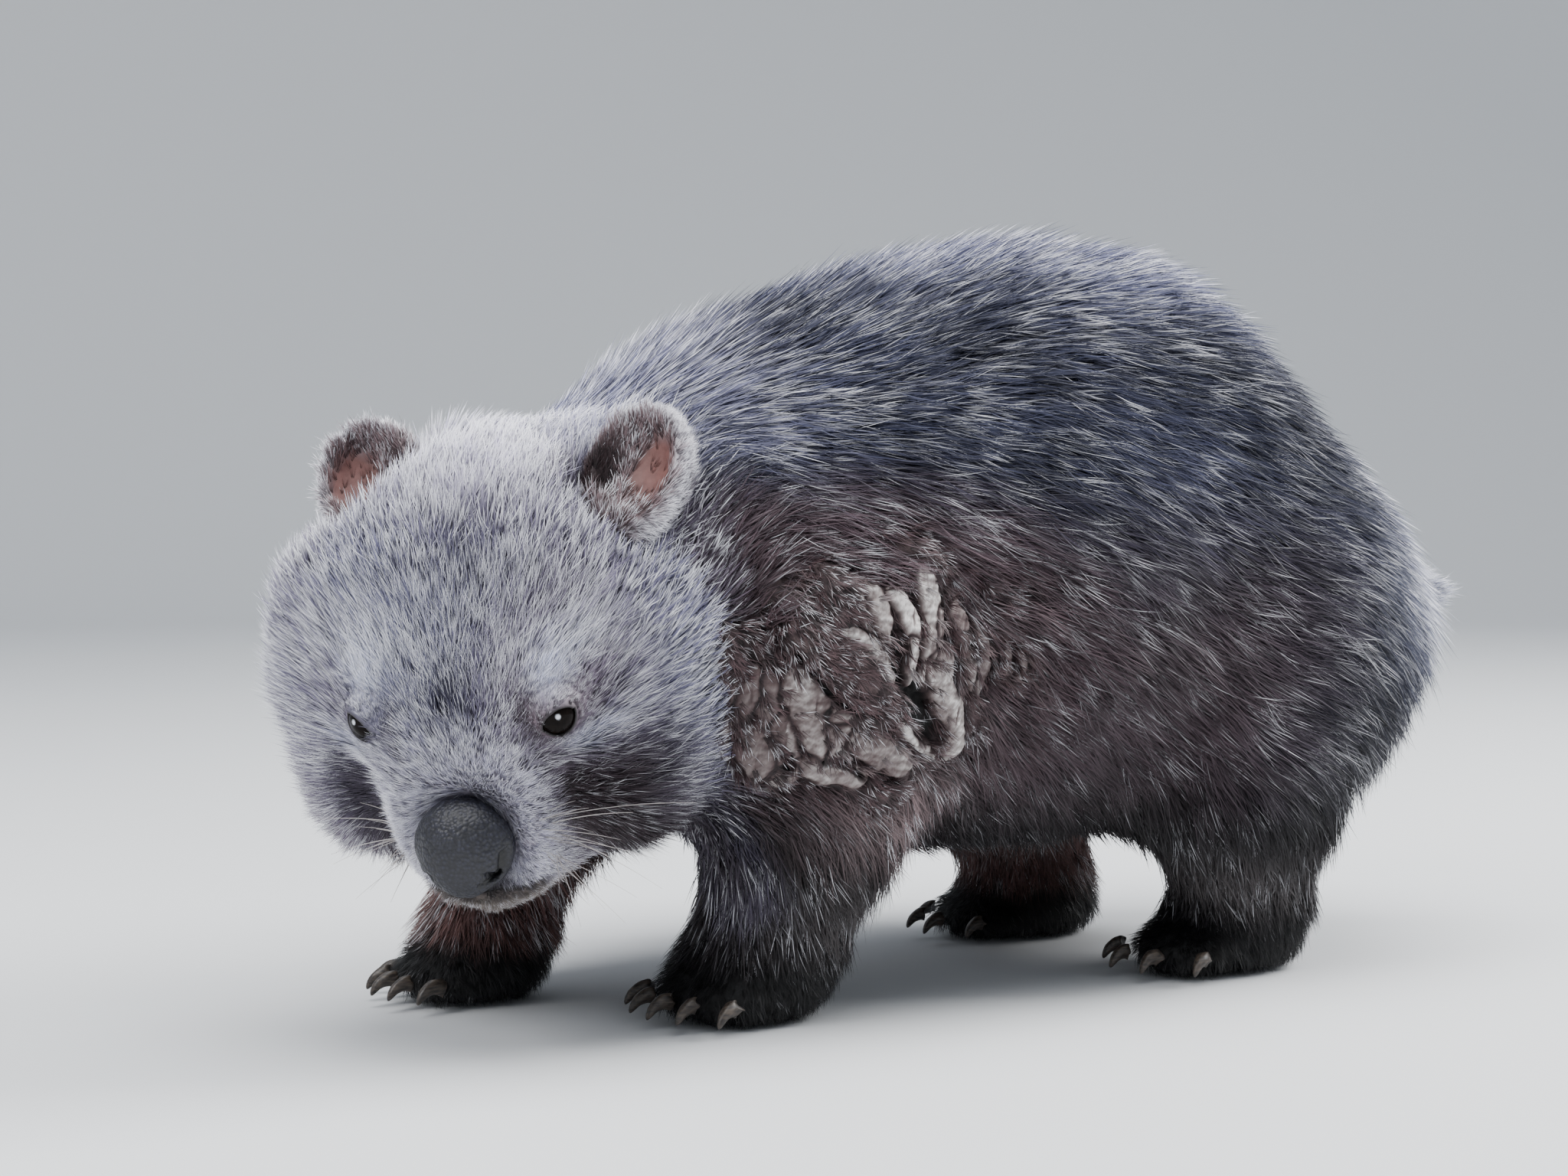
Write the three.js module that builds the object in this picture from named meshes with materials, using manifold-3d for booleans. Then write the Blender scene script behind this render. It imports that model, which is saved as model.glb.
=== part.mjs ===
// A common wombat at life size, standing with its head lowered and turned to its left.
// Units are millimetres and +Z is up. The wombat faces -Y, its left side is +X, and it stands on Z = 0.
// The body is one soft shape, blended from a trunk, a head and four limbs. It is then parted along
// thin curved cuts into head, neck, torso, legs and paws. Ears, eyes, nose pad, tail and claws are
// seated on it, and locks of the long hair on cheeks, belly and legs are fused to what they grow from.

import * as THREE from "three";
import { mergeVertices } from "three/addons/utils/BufferGeometryUtils.js";
import Module from "manifold-3d";

const wasm = await Module();
wasm.setup();

// Gap between pieces that meet, and the mesh size of each region.
const seam = 0.3;
const cell = { trunk: 28, leg: 20, paw: 14, head: 13 };

// The trunk from the nape to the rump. top and bottom are heights, half is half the width.
const trunk = [
  { at: "nape", x: 32, y: -204, top: 276, bottom: 112, half: 78 },
  { at: "withers", x: 14, y: -132, top: 320, bottom: 90, half: 106 },
  { at: "shoulder", x: 3, y: -62, top: 346, bottom: 76, half: 130 },
  { at: "ribs", x: 0, y: 10, top: 368, bottom: 67, half: 143 },
  { at: "loin", x: 0, y: 85, top: 378, bottom: 65, half: 147 },
  { at: "hips", x: 0, y: 156, top: 368, bottom: 72, half: 141 },
  { at: "croup", x: 0, y: 218, top: 323, bottom: 84, half: 117 },
  { at: "rump", x: 0, y: 266, top: 266, bottom: 98, half: 95 },
  { at: "tail root", x: 0, y: 304, top: 230, bottom: 122, half: 74 },
];
const trunkEnds = { first: 34, last: 30 };
const trunkSquareness = 2.15;

// The head in its own frame: the nose points to -Y and the crown to +Z.
const headPose = { x: 63, y: -225, z: 158, turn: 45.5, nod: 36, roll: -3 };
const skull = [
  { at: "occiput", x: -10, y: 78, top: 92, bottom: -60, half: 84 },
  { at: "crown", x: -13, y: 42, top: 102, bottom: -78, half: 97 },
  { at: "cheeks", x: -13, y: 4, top: 94, bottom: -86, half: 101 },
  { at: "brow", x: -10, y: -28, top: 69, bottom: -80, half: 89 },
  { at: "eyes", x: -4, y: -48, top: 46, bottom: -70, half: 62 },
  { at: "muzzle", x: -3, y: -62, top: 22, bottom: -64, half: 45 },
  { at: "lip", x: -4, y: -73, top: 0, bottom: -60, half: 35 },
];
const skullEnds = { first: 26, last: 8 };
const skullSquareness = 2.1;

// The face, in the head's frame. Places on the left side are mirrored to the right.
const eye = { x: 45, y: -54, z: 29, radius: 9.5, sideways: 0.56, up: 0.16 };
const lids = { thick: 2.4, wide: 8, tall: 5.4, slant: 22 };
const nose = { x: -4, y: -77, z: -21, half: 23, tall: 22, deep: 15, tilt: 30, nostril: 4.6 };
const mouth = { x: -4, y: -78, z: -46, half: 24, deep: 26, open: 1.8 };
const ear = { x: 59, shift: 2, y: 46, z: 71, half: 24, long: 31, deep: 13, wall: 4, lean: 34, splay: 8 };

// Limbs from the trunk to the wrist or ankle, as rounds of a given radius, then the paw.
const limbs = {
  foreleg_left: {
    rounds: [
      { x: 84, y: -88, z: 178, r: 56 },
      { x: 80, y: -80, z: 112, r: 47 },
      { x: 62, y: -88, z: 60, r: 42 },
      { x: 55, y: -94, z: 30, r: 39 },
    ],
    paw: { x: 53, y: -98, half: 40, long: 41, tall: 33, turn: 8, toes: 5, claw: 18 },
    cut: { x: 86, y: -84, z: 34, sides: 82, length: 92, height: 98 },
  },
  foreleg_right: {
    rounds: [
      { x: -80, y: -100, z: 178, r: 54 },
      { x: -74, y: -132, z: 118, r: 44 },
      { x: -58, y: -168, z: 68, r: 37 },
      { x: -53, y: -186, z: 32, r: 35 },
    ],
    paw: { x: -53, y: -190, half: 36, long: 37, tall: 31, turn: -4, toes: 5, claw: 17 },
    cut: { x: -82, y: -136, z: 34, sides: 80, length: 112, height: 98 },
  },
  hindleg_left: {
    rounds: [
      { x: 80, y: 176, z: 186, r: 68 },
      { x: 86, y: 158, z: 112, r: 52 },
      { x: 70, y: 182, z: 60, r: 43 },
      { x: 65, y: 188, z: 34, r: 38 },
    ],
    paw: { x: 64, y: 174, half: 36, long: 55, tall: 32, turn: 6, toes: 4, claw: 16 },
    cut: { x: 84, y: 172, z: 34, sides: 82, length: 112, height: 158 },
  },
  hindleg_right: {
    rounds: [
      { x: -80, y: 168, z: 186, r: 68 },
      { x: -88, y: 132, z: 112, r: 50 },
      { x: -80, y: 148, z: 60, r: 40 },
      { x: -76, y: 156, z: 34, r: 36 },
    ],
    paw: { x: -74, y: 146, half: 35, long: 53, tall: 32, turn: -8, toes: 4, claw: 16 },
    cut: { x: -84, y: 152, z: 34, sides: 82, length: 112, height: 158 },
  },
};
const wristHeight = 30;

// Soft lumps that fill out the trunk: a centre and the three half sizes.
const lumps = [
  { at: "left shoulder", x: 84, y: -76, z: 172, rx: 52, ry: 66, rz: 84 },
  { at: "right shoulder", x: -82, y: -92, z: 172, rx: 50, ry: 66, rz: 84 },
  { at: "left haunch", x: 84, y: 198, z: 170, rx: 56, ry: 84, rz: 92 },
  { at: "right haunch", x: -84, y: 190, z: 170, rx: 56, ry: 84, rz: 92 },
];
// Bare crusted folds on the left flank and shoulder: lines of points [y, z], and half the width.
const folds = [
  { half: 4, line: [[-83, 213], [-80, 195], [-78, 176]] },
  { half: 5, line: [[-71, 200], [-68, 182], [-65, 161]] },
  { half: 6, line: [[-60, 206], [-55, 185], [-59, 161]] },
  { half: 6.5, line: [[-51, 168], [-47, 151], [-48, 133]] },
  { half: 6, line: [[-41, 190], [-37, 172], [-38, 156]] },
  { half: 4.5, line: [[-18, 196], [-15, 180], [-16, 165]] },
  { half: 5.5, line: [[-98, 182], [-86, 173], [-73, 162]] },
  { half: 5, line: [[-101, 150], [-86, 144], [-64, 132]] },
  { half: 8, line: [[-147, 166], [-153, 149], [-160, 130]] },
  { half: 6.5, line: [[-121, 162], [-113, 149], [-109, 134]] },
];
const foldHeight = 3.4;

// Locks of long hair. Each starts inside the box from low to high, is seated on the nearest
// surface, and lies along comb. Boxes and combs of the head are in the head's frame.
const lockRows = {
  head: [
    { count: 7, low: [74, -14, -72], high: [98, 40, 40], comb: [0.1, 1, -0.3], long: 27 },
    { count: 7, low: [-118, -14, -72], high: [-96, 40, 40], comb: [-0.1, 1, -0.3], long: 27 },
  ],
  torso: [
    { count: 8, low: [-96, -24, 56], high: [104, 118, 62], comb: [0, 0.5, -0.9], long: 27 },
    { count: 5, low: [-60, 330, 120], high: [66, 372, 196], comb: [0, 0.5, -0.9], long: 28 },
  ],
  foreleg_left: [{ count: 6, low: [40, -58, 62], high: [116, -30, 108], comb: [0.1, 0.5, -0.9], long: 30 }],
  foreleg_right: [{ count: 5, low: [-110, -150, 62], high: [-50, -110, 108], comb: [-0.1, 0.5, -0.9], long: 28 }],
  hindleg_left: [{ count: 7, low: [66, 206, 62], high: [140, 270, 120], comb: [0.2, 0.6, -0.8], long: 32 }],
  hindleg_right: [{ count: 6, low: [-140, 190, 62], high: [-66, 260, 120], comb: [-0.2, 0.6, -0.8], long: 32 }],
};
const lockShape = { half: 6, thick: 1.8, sunk: 8, rise: 0.16, clear: 3.2, floor: 4 };

const blend = { limb: 26, lump: 34, head: 22, toe: 5 };

// The materials, one for each kind of surface.
const coatGrey = new THREE.MeshStandardMaterial({ color: 0x6d6a70, roughness: 0.95, metalness: 0 });
const coatDark = new THREE.MeshStandardMaterial({ color: 0x423b3a, roughness: 0.95, metalness: 0 });
const coatPale = new THREE.MeshStandardMaterial({ color: 0x8d8a90, roughness: 0.95, metalness: 0 });
const noseSkin = new THREE.MeshStandardMaterial({ color: 0x26242a, roughness: 0.6, metalness: 0 });
const eyeGloss = new THREE.MeshStandardMaterial({ color: 0x0b0908, roughness: 0.05, metalness: 0 });
const clawHorn = new THREE.MeshStandardMaterial({ color: 0x3a322b, roughness: 0.5, metalness: 0 });

// Solids

function solidOf(geometry) {
  const bare = geometry.clone();
  bare.deleteAttribute("normal");
  bare.deleteAttribute("uv");
  const merged = mergeVertices(bare, 1e-4);
  return new wasm.Manifold(new wasm.Mesh({
    numProp: 3,
    vertProperties: Float32Array.from(merged.attributes.position.array),
    triVerts: Uint32Array.from(merged.index.array),
  }));
}

function geometryOf(solid) {
  const mesh = solid.getMesh();
  const places = new Float32Array(mesh.numVert * 3);
  for (let i = 0; i < mesh.numVert; i++) {
    places.set(mesh.vertProperties.subarray(i * mesh.numProp, i * mesh.numProp + 3), i * 3);
  }
  const geometry = new THREE.BufferGeometry();
  geometry.setAttribute("position", new THREE.BufferAttribute(places, 3));
  geometry.setIndex(new THREE.BufferAttribute(Uint32Array.from(mesh.triVerts), 1));
  geometry.computeVertexNormals();
  return geometry;
}

function largest(solid) {
  return solid.decompose().sort((a, b) => b.volume() - a.volume())[0];
}

function fused(base, pieces) {
  return largest(wasm.Manifold.union([base, ...pieces]));
}

// The same solid with every vertex moved out along its normal.
function grown(solid, distance) {
  const geometry = geometryOf(solid);
  const place = geometry.attributes.position;
  const normal = geometry.attributes.normal;
  for (let i = 0; i < place.count; i++) {
    place.setXYZ(
      i,
      place.getX(i) + normal.getX(i) * distance,
      place.getY(i) + normal.getY(i) * distance,
      place.getZ(i) + normal.getZ(i) * distance,
    );
  }
  return solidOf(geometry);
}

// A round of given half sizes, turned by a matrix and set at a place.
function ball(place, half, rounds = 16, turn = null) {
  const geometry = new THREE.SphereGeometry(1, rounds, Math.max(6, Math.round(rounds * 0.7)));
  geometry.rotateX(Math.PI / 2);
  geometry.scale(half.x, half.y, half.z);
  if (turn) geometry.applyMatrix4(turn);
  geometry.translate(place.x, place.y, place.z);
  return solidOf(geometry);
}

// Fields: each is below zero inside, and roughly a distance in millimetres

function blended(a, b, reach) {
  const share = Math.max(reach - Math.abs(a - b), 0) / reach;
  return Math.min(a, b) - share * share * reach * 0.25;
}

function mix(a, b, share) {
  return a + (b - a) * share;
}

// A smooth value at a place between four stations in a row.
function eased(before, a, b, after, share) {
  const slopeA = (b - before) / 2;
  const slopeB = (after - a) / 2;
  const s2 = share * share;
  const s3 = s2 * share;
  return (2 * s3 - 3 * s2 + 1) * a + (s3 - 2 * s2 + share) * slopeA
    + (3 * s2 - 2 * s3) * b + (s3 - s2) * slopeB;
}

// Stations filled in with smooth steps between them.
function smoothed(stations, steps) {
  const keys = Object.keys(stations[0]).filter((key) => key !== "at");
  const row = [];
  for (let i = 0; i < stations.length - 1; i++) {
    const near = [i - 1, i, i + 1, i + 2].map((n) => stations[Math.min(Math.max(n, 0), stations.length - 1)]);
    for (let s = 0; s < steps; s++) {
      row.push(Object.fromEntries(keys.map((k) => [k, eased(...near.map((n) => n[k]), s / steps)])));
    }
  }
  row.push({ ...stations.at(-1) });
  return row;
}

// A barrel with upright sections strung along Y, its ends rounded off.
function barrel(stations, ends, squareness) {
  const row = smoothed(stations, 8);
  const heading = Math.sign(row.at(-1).y - row[0].y);
  return (p) => {
    let i = 0;
    while (i < row.length - 2 && (p.y - row[i + 1].y) * heading > 0) i++;
    const a = row[i];
    const b = row[i + 1];
    const share = Math.min(Math.max((p.y - a.y) / (b.y - a.y), 0), 1);
    const half = mix(a.half, b.half, share);
    const top = mix(a.top, b.top, share);
    const bottom = mix(a.bottom, b.bottom, share);
    const tall = (top - bottom) / 2;
    const before = Math.max((row[0].y - p.y) * heading, 0) / ends.first;
    const after = Math.max((p.y - row.at(-1).y) * heading, 0) / ends.last;
    const across = Math.abs(p.x - mix(a.x, b.x, share)) / half;
    const upright = Math.abs(p.z - (top + bottom) / 2) / tall;
    const round = (across ** squareness + upright ** squareness) ** (1 / squareness);
    return (Math.hypot(round, before, after) - 1) * Math.min(half, tall);
  };
}

// A limb: rounds of changing radius strung on a smooth line.
function limbField(rounds) {
  const row = smoothed(rounds, 5);
  return (p) => {
    let least = Infinity;
    for (let i = 0; i < row.length - 1; i++) {
      const a = row[i];
      const b = row[i + 1];
      const dx = b.x - a.x;
      const dy = b.y - a.y;
      const dz = b.z - a.z;
      const along = ((p.x - a.x) * dx + (p.y - a.y) * dy + (p.z - a.z) * dz) / (dx * dx + dy * dy + dz * dz);
      const share = Math.min(Math.max(along, 0), 1);
      const gap = Math.hypot(p.x - a.x - dx * share, p.y - a.y - dy * share, p.z - a.z - dz * share);
      least = Math.min(least, gap - mix(a.r, b.r, share));
    }
    return least;
  };
}

function lumpField({ x, y, z, rx, ry, rz }) {
  const least = Math.min(rx, ry, rz);
  return (p) => (Math.hypot((p.x - x) / rx, (p.y - y) / ry, (p.z - z) / rz) - 1) * least;
}

// A paw seen from above: a flat pad with its toes in a fan before it.
function toePlaces({ x, y, half, long, turn, toes }) {
  const places = [];
  const heading = THREE.MathUtils.degToRad(turn);
  for (let i = 0; i < toes; i++) {
    const across = (i / (toes - 1) - 0.5) * 2;
    const side = across * half * 0.74;
    const ahead = long * (0.86 - 0.3 * across * across);
    places.push({
      x: x + side * Math.cos(heading) + ahead * Math.sin(heading),
      y: y + side * Math.sin(heading) - ahead * Math.cos(heading),
      across,
      heading: heading + across * 0.3,
    });
  }
  return places;
}

function pawField(paw) {
  const heading = THREE.MathUtils.degToRad(paw.turn);
  const ahead = new THREE.Vector2(Math.sin(heading), -Math.cos(heading));
  const toes = toePlaces(paw).map((toe) => lumpField({
    x: toe.x, y: toe.y, z: 11, rx: paw.half * 0.27, ry: paw.half * 0.42, rz: 14,
  }));
  return (p) => {
    const dx = p.x - paw.x;
    const dy = p.y - paw.y;
    const along = dx * ahead.x + dy * ahead.y;
    const side = dx * -ahead.y + dy * ahead.x;
    const round = Math.hypot(side / paw.half, along / paw.long, (p.z - 6) / paw.tall);
    let value = (round - 1) * paw.tall;
    for (const toe of toes) value = blended(value, toe(p), blend.toe);
    return value;
  };
}

// The whole wombat

const headFrame = new THREE.Group();
headFrame.rotation.order = "ZXY";
headFrame.position.set(headPose.x, headPose.y, headPose.z);
headFrame.rotation.set(...[headPose.nod, headPose.roll, headPose.turn].map(THREE.MathUtils.degToRad));
headFrame.updateMatrixWorld();
const toHead = headFrame.matrixWorld.clone().invert();

const faceLumps = [1, -1].flatMap((side) => [
  { at: "cheek", x: side * 60 - 10, y: -14, z: -28, rx: 34, ry: 42, rz: 44 },
  { at: "lip pad", x: side * 18 - 4, y: -64, z: -27, rx: 19, ry: 20, rz: 20 },
]);
faceLumps.push({ at: "chin", x: -6, y: -60, z: -59, rx: 23, ry: 22, rz: 12 });
const faceFields = faceLumps.map(lumpField);
const skullField = barrel(skull, skullEnds, skullSquareness);

function headField(p) {
  let value = skullField(p);
  for (const lump of faceFields) value = blended(value, lump(p), 12);
  return value;
}

const trunkField = barrel(trunk, trunkEnds, trunkSquareness);
const trunkLumps = lumps.map(lumpField);
const limbFields = Object.values(limbs).map((limb) => limbField(limb.rounds));
const pawFields = Object.values(limbs).map((limb) => pawField(limb.paw));
const local = new THREE.Vector3();

function wombatField(p) {
  let value = trunkField(p);
  for (const lump of trunkLumps) value = blended(value, lump(p), blend.lump);
  for (const limb of limbFields) value = blended(value, limb(p), blend.limb);
  for (const paw of pawFields) value = blended(value, paw(p), 10);
  local.set(p.x, p.y, p.z).applyMatrix4(toHead);
  return blended(value, headField(local), blend.head);
}

function wombatFieldFromHead(p) {
  const world = new THREE.Vector3(p.x, p.y, p.z).applyMatrix4(headFrame.matrixWorld);
  return wombatField(world);
}

function slopeOf(field, p, step = 0.5) {
  const at = (dx, dy, dz) => field({ x: p.x + dx, y: p.y + dy, z: p.z + dz });
  return new THREE.Vector3(
    at(step, 0, 0) - at(-step, 0, 0),
    at(0, step, 0) - at(0, -step, 0),
    at(0, 0, step) - at(0, 0, -step),
  ).divideScalar(2 * step);
}

// Where the inside would touch itself only along an edge or at a corner, one grid point is filled in.
function fillPinches(values, [nx, ny, nz], depth) {
  const steps = [1, nx, nx * ny];
  let changed = true;
  const fill = (spots) => {
    const outside = spots.filter((n) => values[n] >= 0).sort((a, b) => values[a] - values[b]);
    values[outside[0]] = -depth;
    changed = true;
  };
  while (changed) {
    changed = false;
    for (let k = 0; k < nz - 1; k++) {
      for (let j = 0; j < ny - 1; j++) {
        for (let i = 0; i < nx - 1; i++) {
          const base = i + nx * (j + ny * k);
          for (const [u, v] of [[0, 1], [1, 2], [0, 2]]) {
            const ring = [base, base + steps[u], base + steps[u] + steps[v], base + steps[v]];
            const sign = ring.map((n) => values[n] < 0);
            if (sign[0] === sign[2] && sign[1] === sign[3] && sign[0] !== sign[1]) fill(ring);
          }
          const cube = [0, 1, 2, 3, 4, 5, 6, 7]
            .map((n) => base + (n & 1) * steps[0] + ((n >> 1) & 1) * steps[1] + (n >> 2) * steps[2]);
          const inside = cube.map((n) => values[n] < 0);
          const some = inside.filter(Boolean).length;
          if (some !== 2 && some !== 6) continue;
          const odd = [0, 1, 2, 3, 4, 5, 6, 7].filter((n) => inside[n] === (some === 2));
          if (odd[0] + odd[1] === 7) fill(cube);
        }
      }
    }
  }
}

// The point of a field's surface nearest to p along the slope, and the outward direction there.
function seatOn(field, p) {
  const place = new THREE.Vector3(p.x, p.y, p.z);
  const out = new THREE.Vector3();
  for (let pass = 0; pass < 12; pass++) {
    out.copy(slopeOf(field, place));
    const steep = Math.max(out.length(), 0.3);
    out.normalize();
    place.addScaledVector(out, -Math.max(-8, Math.min(8, field(place) / steep)));
  }
  return { place, out };
}

// A tapering strand on a line of points. It is widest across the given direction, which turns
// with the line, and it comes to a point at its far end.
function strand(points, wide, thick, across, sides = 4) {
  const places = [];
  const faces = [];
  const last = points.length - 1;
  const ahead = new THREE.Vector3();
  const over = new THREE.Vector3();
  const side = new THREE.Vector3();
  for (let i = 0; i < last; i++) {
    ahead.copy(points[i + 1]).sub(points[Math.max(i - 1, 0)]).normalize();
    over.copy(ahead).cross(across).normalize();
    side.copy(over).cross(ahead).normalize();
    for (let n = 0; n < sides; n++) {
      const angle = (n / sides) * 2 * Math.PI;
      const spot = points[i].clone()
        .addScaledVector(side, Math.cos(angle) * wide[i])
        .addScaledVector(over, Math.sin(angle) * thick[i]);
      places.push(...spot.toArray());
    }
  }
  places.push(...points[last].toArray(), ...points[0].toArray());
  const tip = sides * last;
  for (let n = 0; n < sides; n++) {
    const next = (n + 1) % sides;
    for (let i = 0; i < last - 1; i++) {
      const a = i * sides;
      faces.push(a + n, a + sides + n, a + next, a + next, a + sides + n, a + sides + next);
    }
    faces.push(tip - sides + n, tip, tip - sides + next, n, next, tip + 1);
  }
  const geometry = new THREE.BufferGeometry();
  geometry.setAttribute("position", new THREE.BufferAttribute(Float32Array.from(places), 3));
  geometry.setIndex(faces);
  const solid = solidOf(geometry);
  if (solid.volume() > 0) return solid;
  for (let i = 0; i < faces.length; i += 3) [faces[i], faces[i + 1]] = [faces[i + 1], faces[i]];
  geometry.setIndex(faces);
  return solidOf(geometry);
}

// The surface of a field inside a box, as a closed mesh of even quads: one vertex in each cell
// that the surface crosses, and one quad across each grid edge whose ends lie on both sides.
function surfaceOf(field, low, high, size) {
  const count = ["x", "y", "z"].map((k) => Math.ceil((high[k] - low[k]) / size) + 1);
  const [nx, ny, nz] = count;
  const centre = ["x", "y", "z"].map((k) => (low[k] + high[k]) / 2);
  const reach = ["x", "y", "z"].map((k) => (high[k] - low[k]) / 2 - size * 0.75);
  const walled = (p) => Math.max(
    field(p),
    Math.abs(p.x - centre[0]) - reach[0],
    Math.abs(p.y - centre[1]) - reach[1],
    Math.abs(p.z - centre[2]) - reach[2],
  );
  const index = (i, j, k) => i + nx * (j + ny * k);
  const values = new Float64Array(nx * ny * nz);
  for (let k = 0; k < nz; k++) {
    for (let j = 0; j < ny; j++) {
      for (let i = 0; i < nx; i++) {
        values[index(i, j, k)] = walled({ x: low.x + i * size, y: low.y + j * size, z: low.z + k * size });
      }
    }
  }
  fillPinches(values, [nx, ny, nz], size * 0.02);
  const corners = [0, 1, 2, 3, 4, 5, 6, 7].map((n) => [n & 1, (n >> 1) & 1, n >> 2]);
  const edges = corners.flatMap((a, i) => corners.slice(i + 1)
    .filter((b) => Math.abs(a[0] - b[0]) + Math.abs(a[1] - b[1]) + Math.abs(a[2] - b[2]) === 1)
    .map((b) => [a, b]));
  const vertexIn = new Map();
  const places = [];
  for (let k = 0; k < nz - 1; k++) {
    for (let j = 0; j < ny - 1; j++) {
      for (let i = 0; i < nx - 1; i++) {
        const sum = [0, 0, 0];
        let crossings = 0;
        for (const [a, b] of edges) {
          const va = values[index(i + a[0], j + a[1], k + a[2])];
          const vb = values[index(i + b[0], j + b[1], k + b[2])];
          if (va < 0 === vb < 0) continue;
          const share = va / (va - vb);
          for (let n = 0; n < 3; n++) sum[n] += mix(a[n], b[n], share);
          crossings++;
        }
        if (!crossings) continue;
        vertexIn.set(index(i, j, k), places.length / 3);
        const p = {
          x: low.x + (i + sum[0] / crossings) * size,
          y: low.y + (j + sum[1] / crossings) * size,
          z: low.z + (k + sum[2] / crossings) * size,
        };
        for (let pass = 0; pass < 2; pass++) {
          const value = field(p);
          if (Math.abs(walled(p) - value) > 1e-9) break;
          const slope = slopeOf(field, p);
          const step = Math.max(-0.45 * size, Math.min(0.45 * size, value / slope.length()));
          slope.normalize();
          p.x -= slope.x * step;
          p.y -= slope.y * step;
          p.z -= slope.z * step;
        }
        places.push(p.x, p.y, p.z);
      }
    }
  }
  const faces = [];
  const far = (a, b) => Math.hypot(...[0, 1, 2].map((n) => places[a * 3 + n] - places[b * 3 + n]));
  const quad = (a, b, c, d, turned) => {
    const ring = turned ? [d, c, b, a] : [a, b, c, d];
    if (far(ring[0], ring[2]) <= far(ring[1], ring[3])) {
      faces.push(ring[0], ring[1], ring[2], ring[0], ring[2], ring[3]);
    } else {
      faces.push(ring[1], ring[2], ring[3], ring[1], ring[3], ring[0]);
    }
  };
  const cellAt = (i, j, k) => vertexIn.get(index(i, j, k));
  for (let k = 0; k < nz - 1; k++) {
    for (let j = 0; j < ny - 1; j++) {
      for (let i = 0; i < nx - 1; i++) {
        const inside = values[index(i, j, k)] < 0;
        if (j && k && inside !== values[index(i + 1, j, k)] < 0) {
          quad(cellAt(i, j - 1, k - 1), cellAt(i, j, k - 1), cellAt(i, j, k), cellAt(i, j - 1, k), !inside);
        }
        if (i && k && inside !== values[index(i, j + 1, k)] < 0) {
          quad(cellAt(i - 1, j, k - 1), cellAt(i - 1, j, k), cellAt(i, j, k), cellAt(i, j, k - 1), !inside);
        }
        if (i && j && inside !== values[index(i, j, k + 1)] < 0) {
          quad(cellAt(i - 1, j - 1, k), cellAt(i, j - 1, k), cellAt(i, j, k), cellAt(i - 1, j, k), !inside);
        }
      }
    }
  }
  const geometry = new THREE.BufferGeometry();
  geometry.setAttribute("position", new THREE.BufferAttribute(Float32Array.from(places), 3));
  geometry.setIndex(faces);
  return solidOf(geometry);
}

// Cuts

const headCut = { x: -16, y: -26, z: 8, rx: 120, ry: 132, rz: 132 };

function headCutter(extra) {
  return ball(headCut, {
    x: headCut.rx + extra, y: headCut.ry + extra, z: headCut.rz + extra,
  }, 18);
}

function headCutterInPlace() {
  return headCutter(seam).transform(headFrame.matrixWorld.toArray());
}

function legCutter({ x, y, z, sides, length, height }, extra) {
  return ball({ x, y, z }, { x: sides + extra, y: length + extra, z: height + extra }, 16);
}

function floorCutter() {
  const box = new THREE.BoxGeometry(1200, 1600, 200);
  box.translate(0, 0, -100);
  return solidOf(box);
}

function above(solid, height) {
  const box = new THREE.BoxGeometry(1200, 1600, 1000);
  box.translate(0, 0, height + 500);
  return solid.intersect(solidOf(box));
}

// Building the nodes

const wombat = new THREE.Group();
wombat.name = "wombat";

function addNode(name, solid, material) {
  const geometry = geometryOf(largest(solid));
  geometry.computeBoundingBox();
  const centre = geometry.boundingBox.getCenter(new THREE.Vector3());
  geometry.translate(-centre.x, -centre.y, -centre.z);
  const mesh = new THREE.Mesh(geometry, material);
  mesh.name = name;
  mesh.position.copy(centre);
  wombat.add(mesh);
}

function makeTrunk() {
  let body = surfaceOf(wombatField, { x: -215, y: -330, z: -6 }, { x: 225, y: 395, z: 400 }, cell.trunk);
  body = fused(body, folds.map(makeFold));
  for (const limb of Object.values(limbs)) body = body.subtract(legCutter(limb.cut, seam));
  body = body.subtract(floorCutter());
  return largest(body.subtract(headCutterInPlace()));
}

function makeHead() {
  const raw = surfaceOf(
    wombatFieldFromHead,
    { x: -122, y: -122, z: -108 },
    { x: 122, y: 98, z: 112 },
    cell.head,
  );
  return largest(raw.intersect(headCutter(0)));
}

function makeLimb(name) {
  const { rounds, paw, cut } = limbs[name];
  const xs = [cut.x - cut.sides, cut.x + cut.sides];
  const ys = [cut.y - cut.length, cut.y + cut.length];
  const low = { x: xs[0] - 16, y: Math.min(ys[0], paw.y - paw.long) - 40, z: -14 };
  const high = { x: xs[1] + 16, y: Math.max(ys[1], paw.y + paw.long) + 16, z: cut.z + cut.height + 16 };
  const body = surfaceOf(wombatField, low, high, cell.leg).intersect(legCutter(cut, 0));
  return largest(above(body.subtract(headCutterInPlace()), wristHeight + seam));
}

function makePaw(name) {
  const { paw } = limbs[name];
  const reach = paw.long + 26;
  const low = { x: paw.x - 62, y: paw.y - reach, z: -16 };
  const high = { x: paw.x + 62, y: paw.y + reach, z: wristHeight + 22 };
  const box = new THREE.BoxGeometry(400, 400, wristHeight);
  box.translate(paw.x, paw.y, wristHeight / 2);
  return largest(surfaceOf(wombatField, low, high, cell.paw).intersect(solidOf(box)));
}

// An even spread of repeatable numbers from 0 to 1.
function numbersFrom(seed) {
  let state = seed;
  return () => {
    state = (state * 16807) % 2147483647;
    return state / 2147483647;
  };
}

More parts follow.
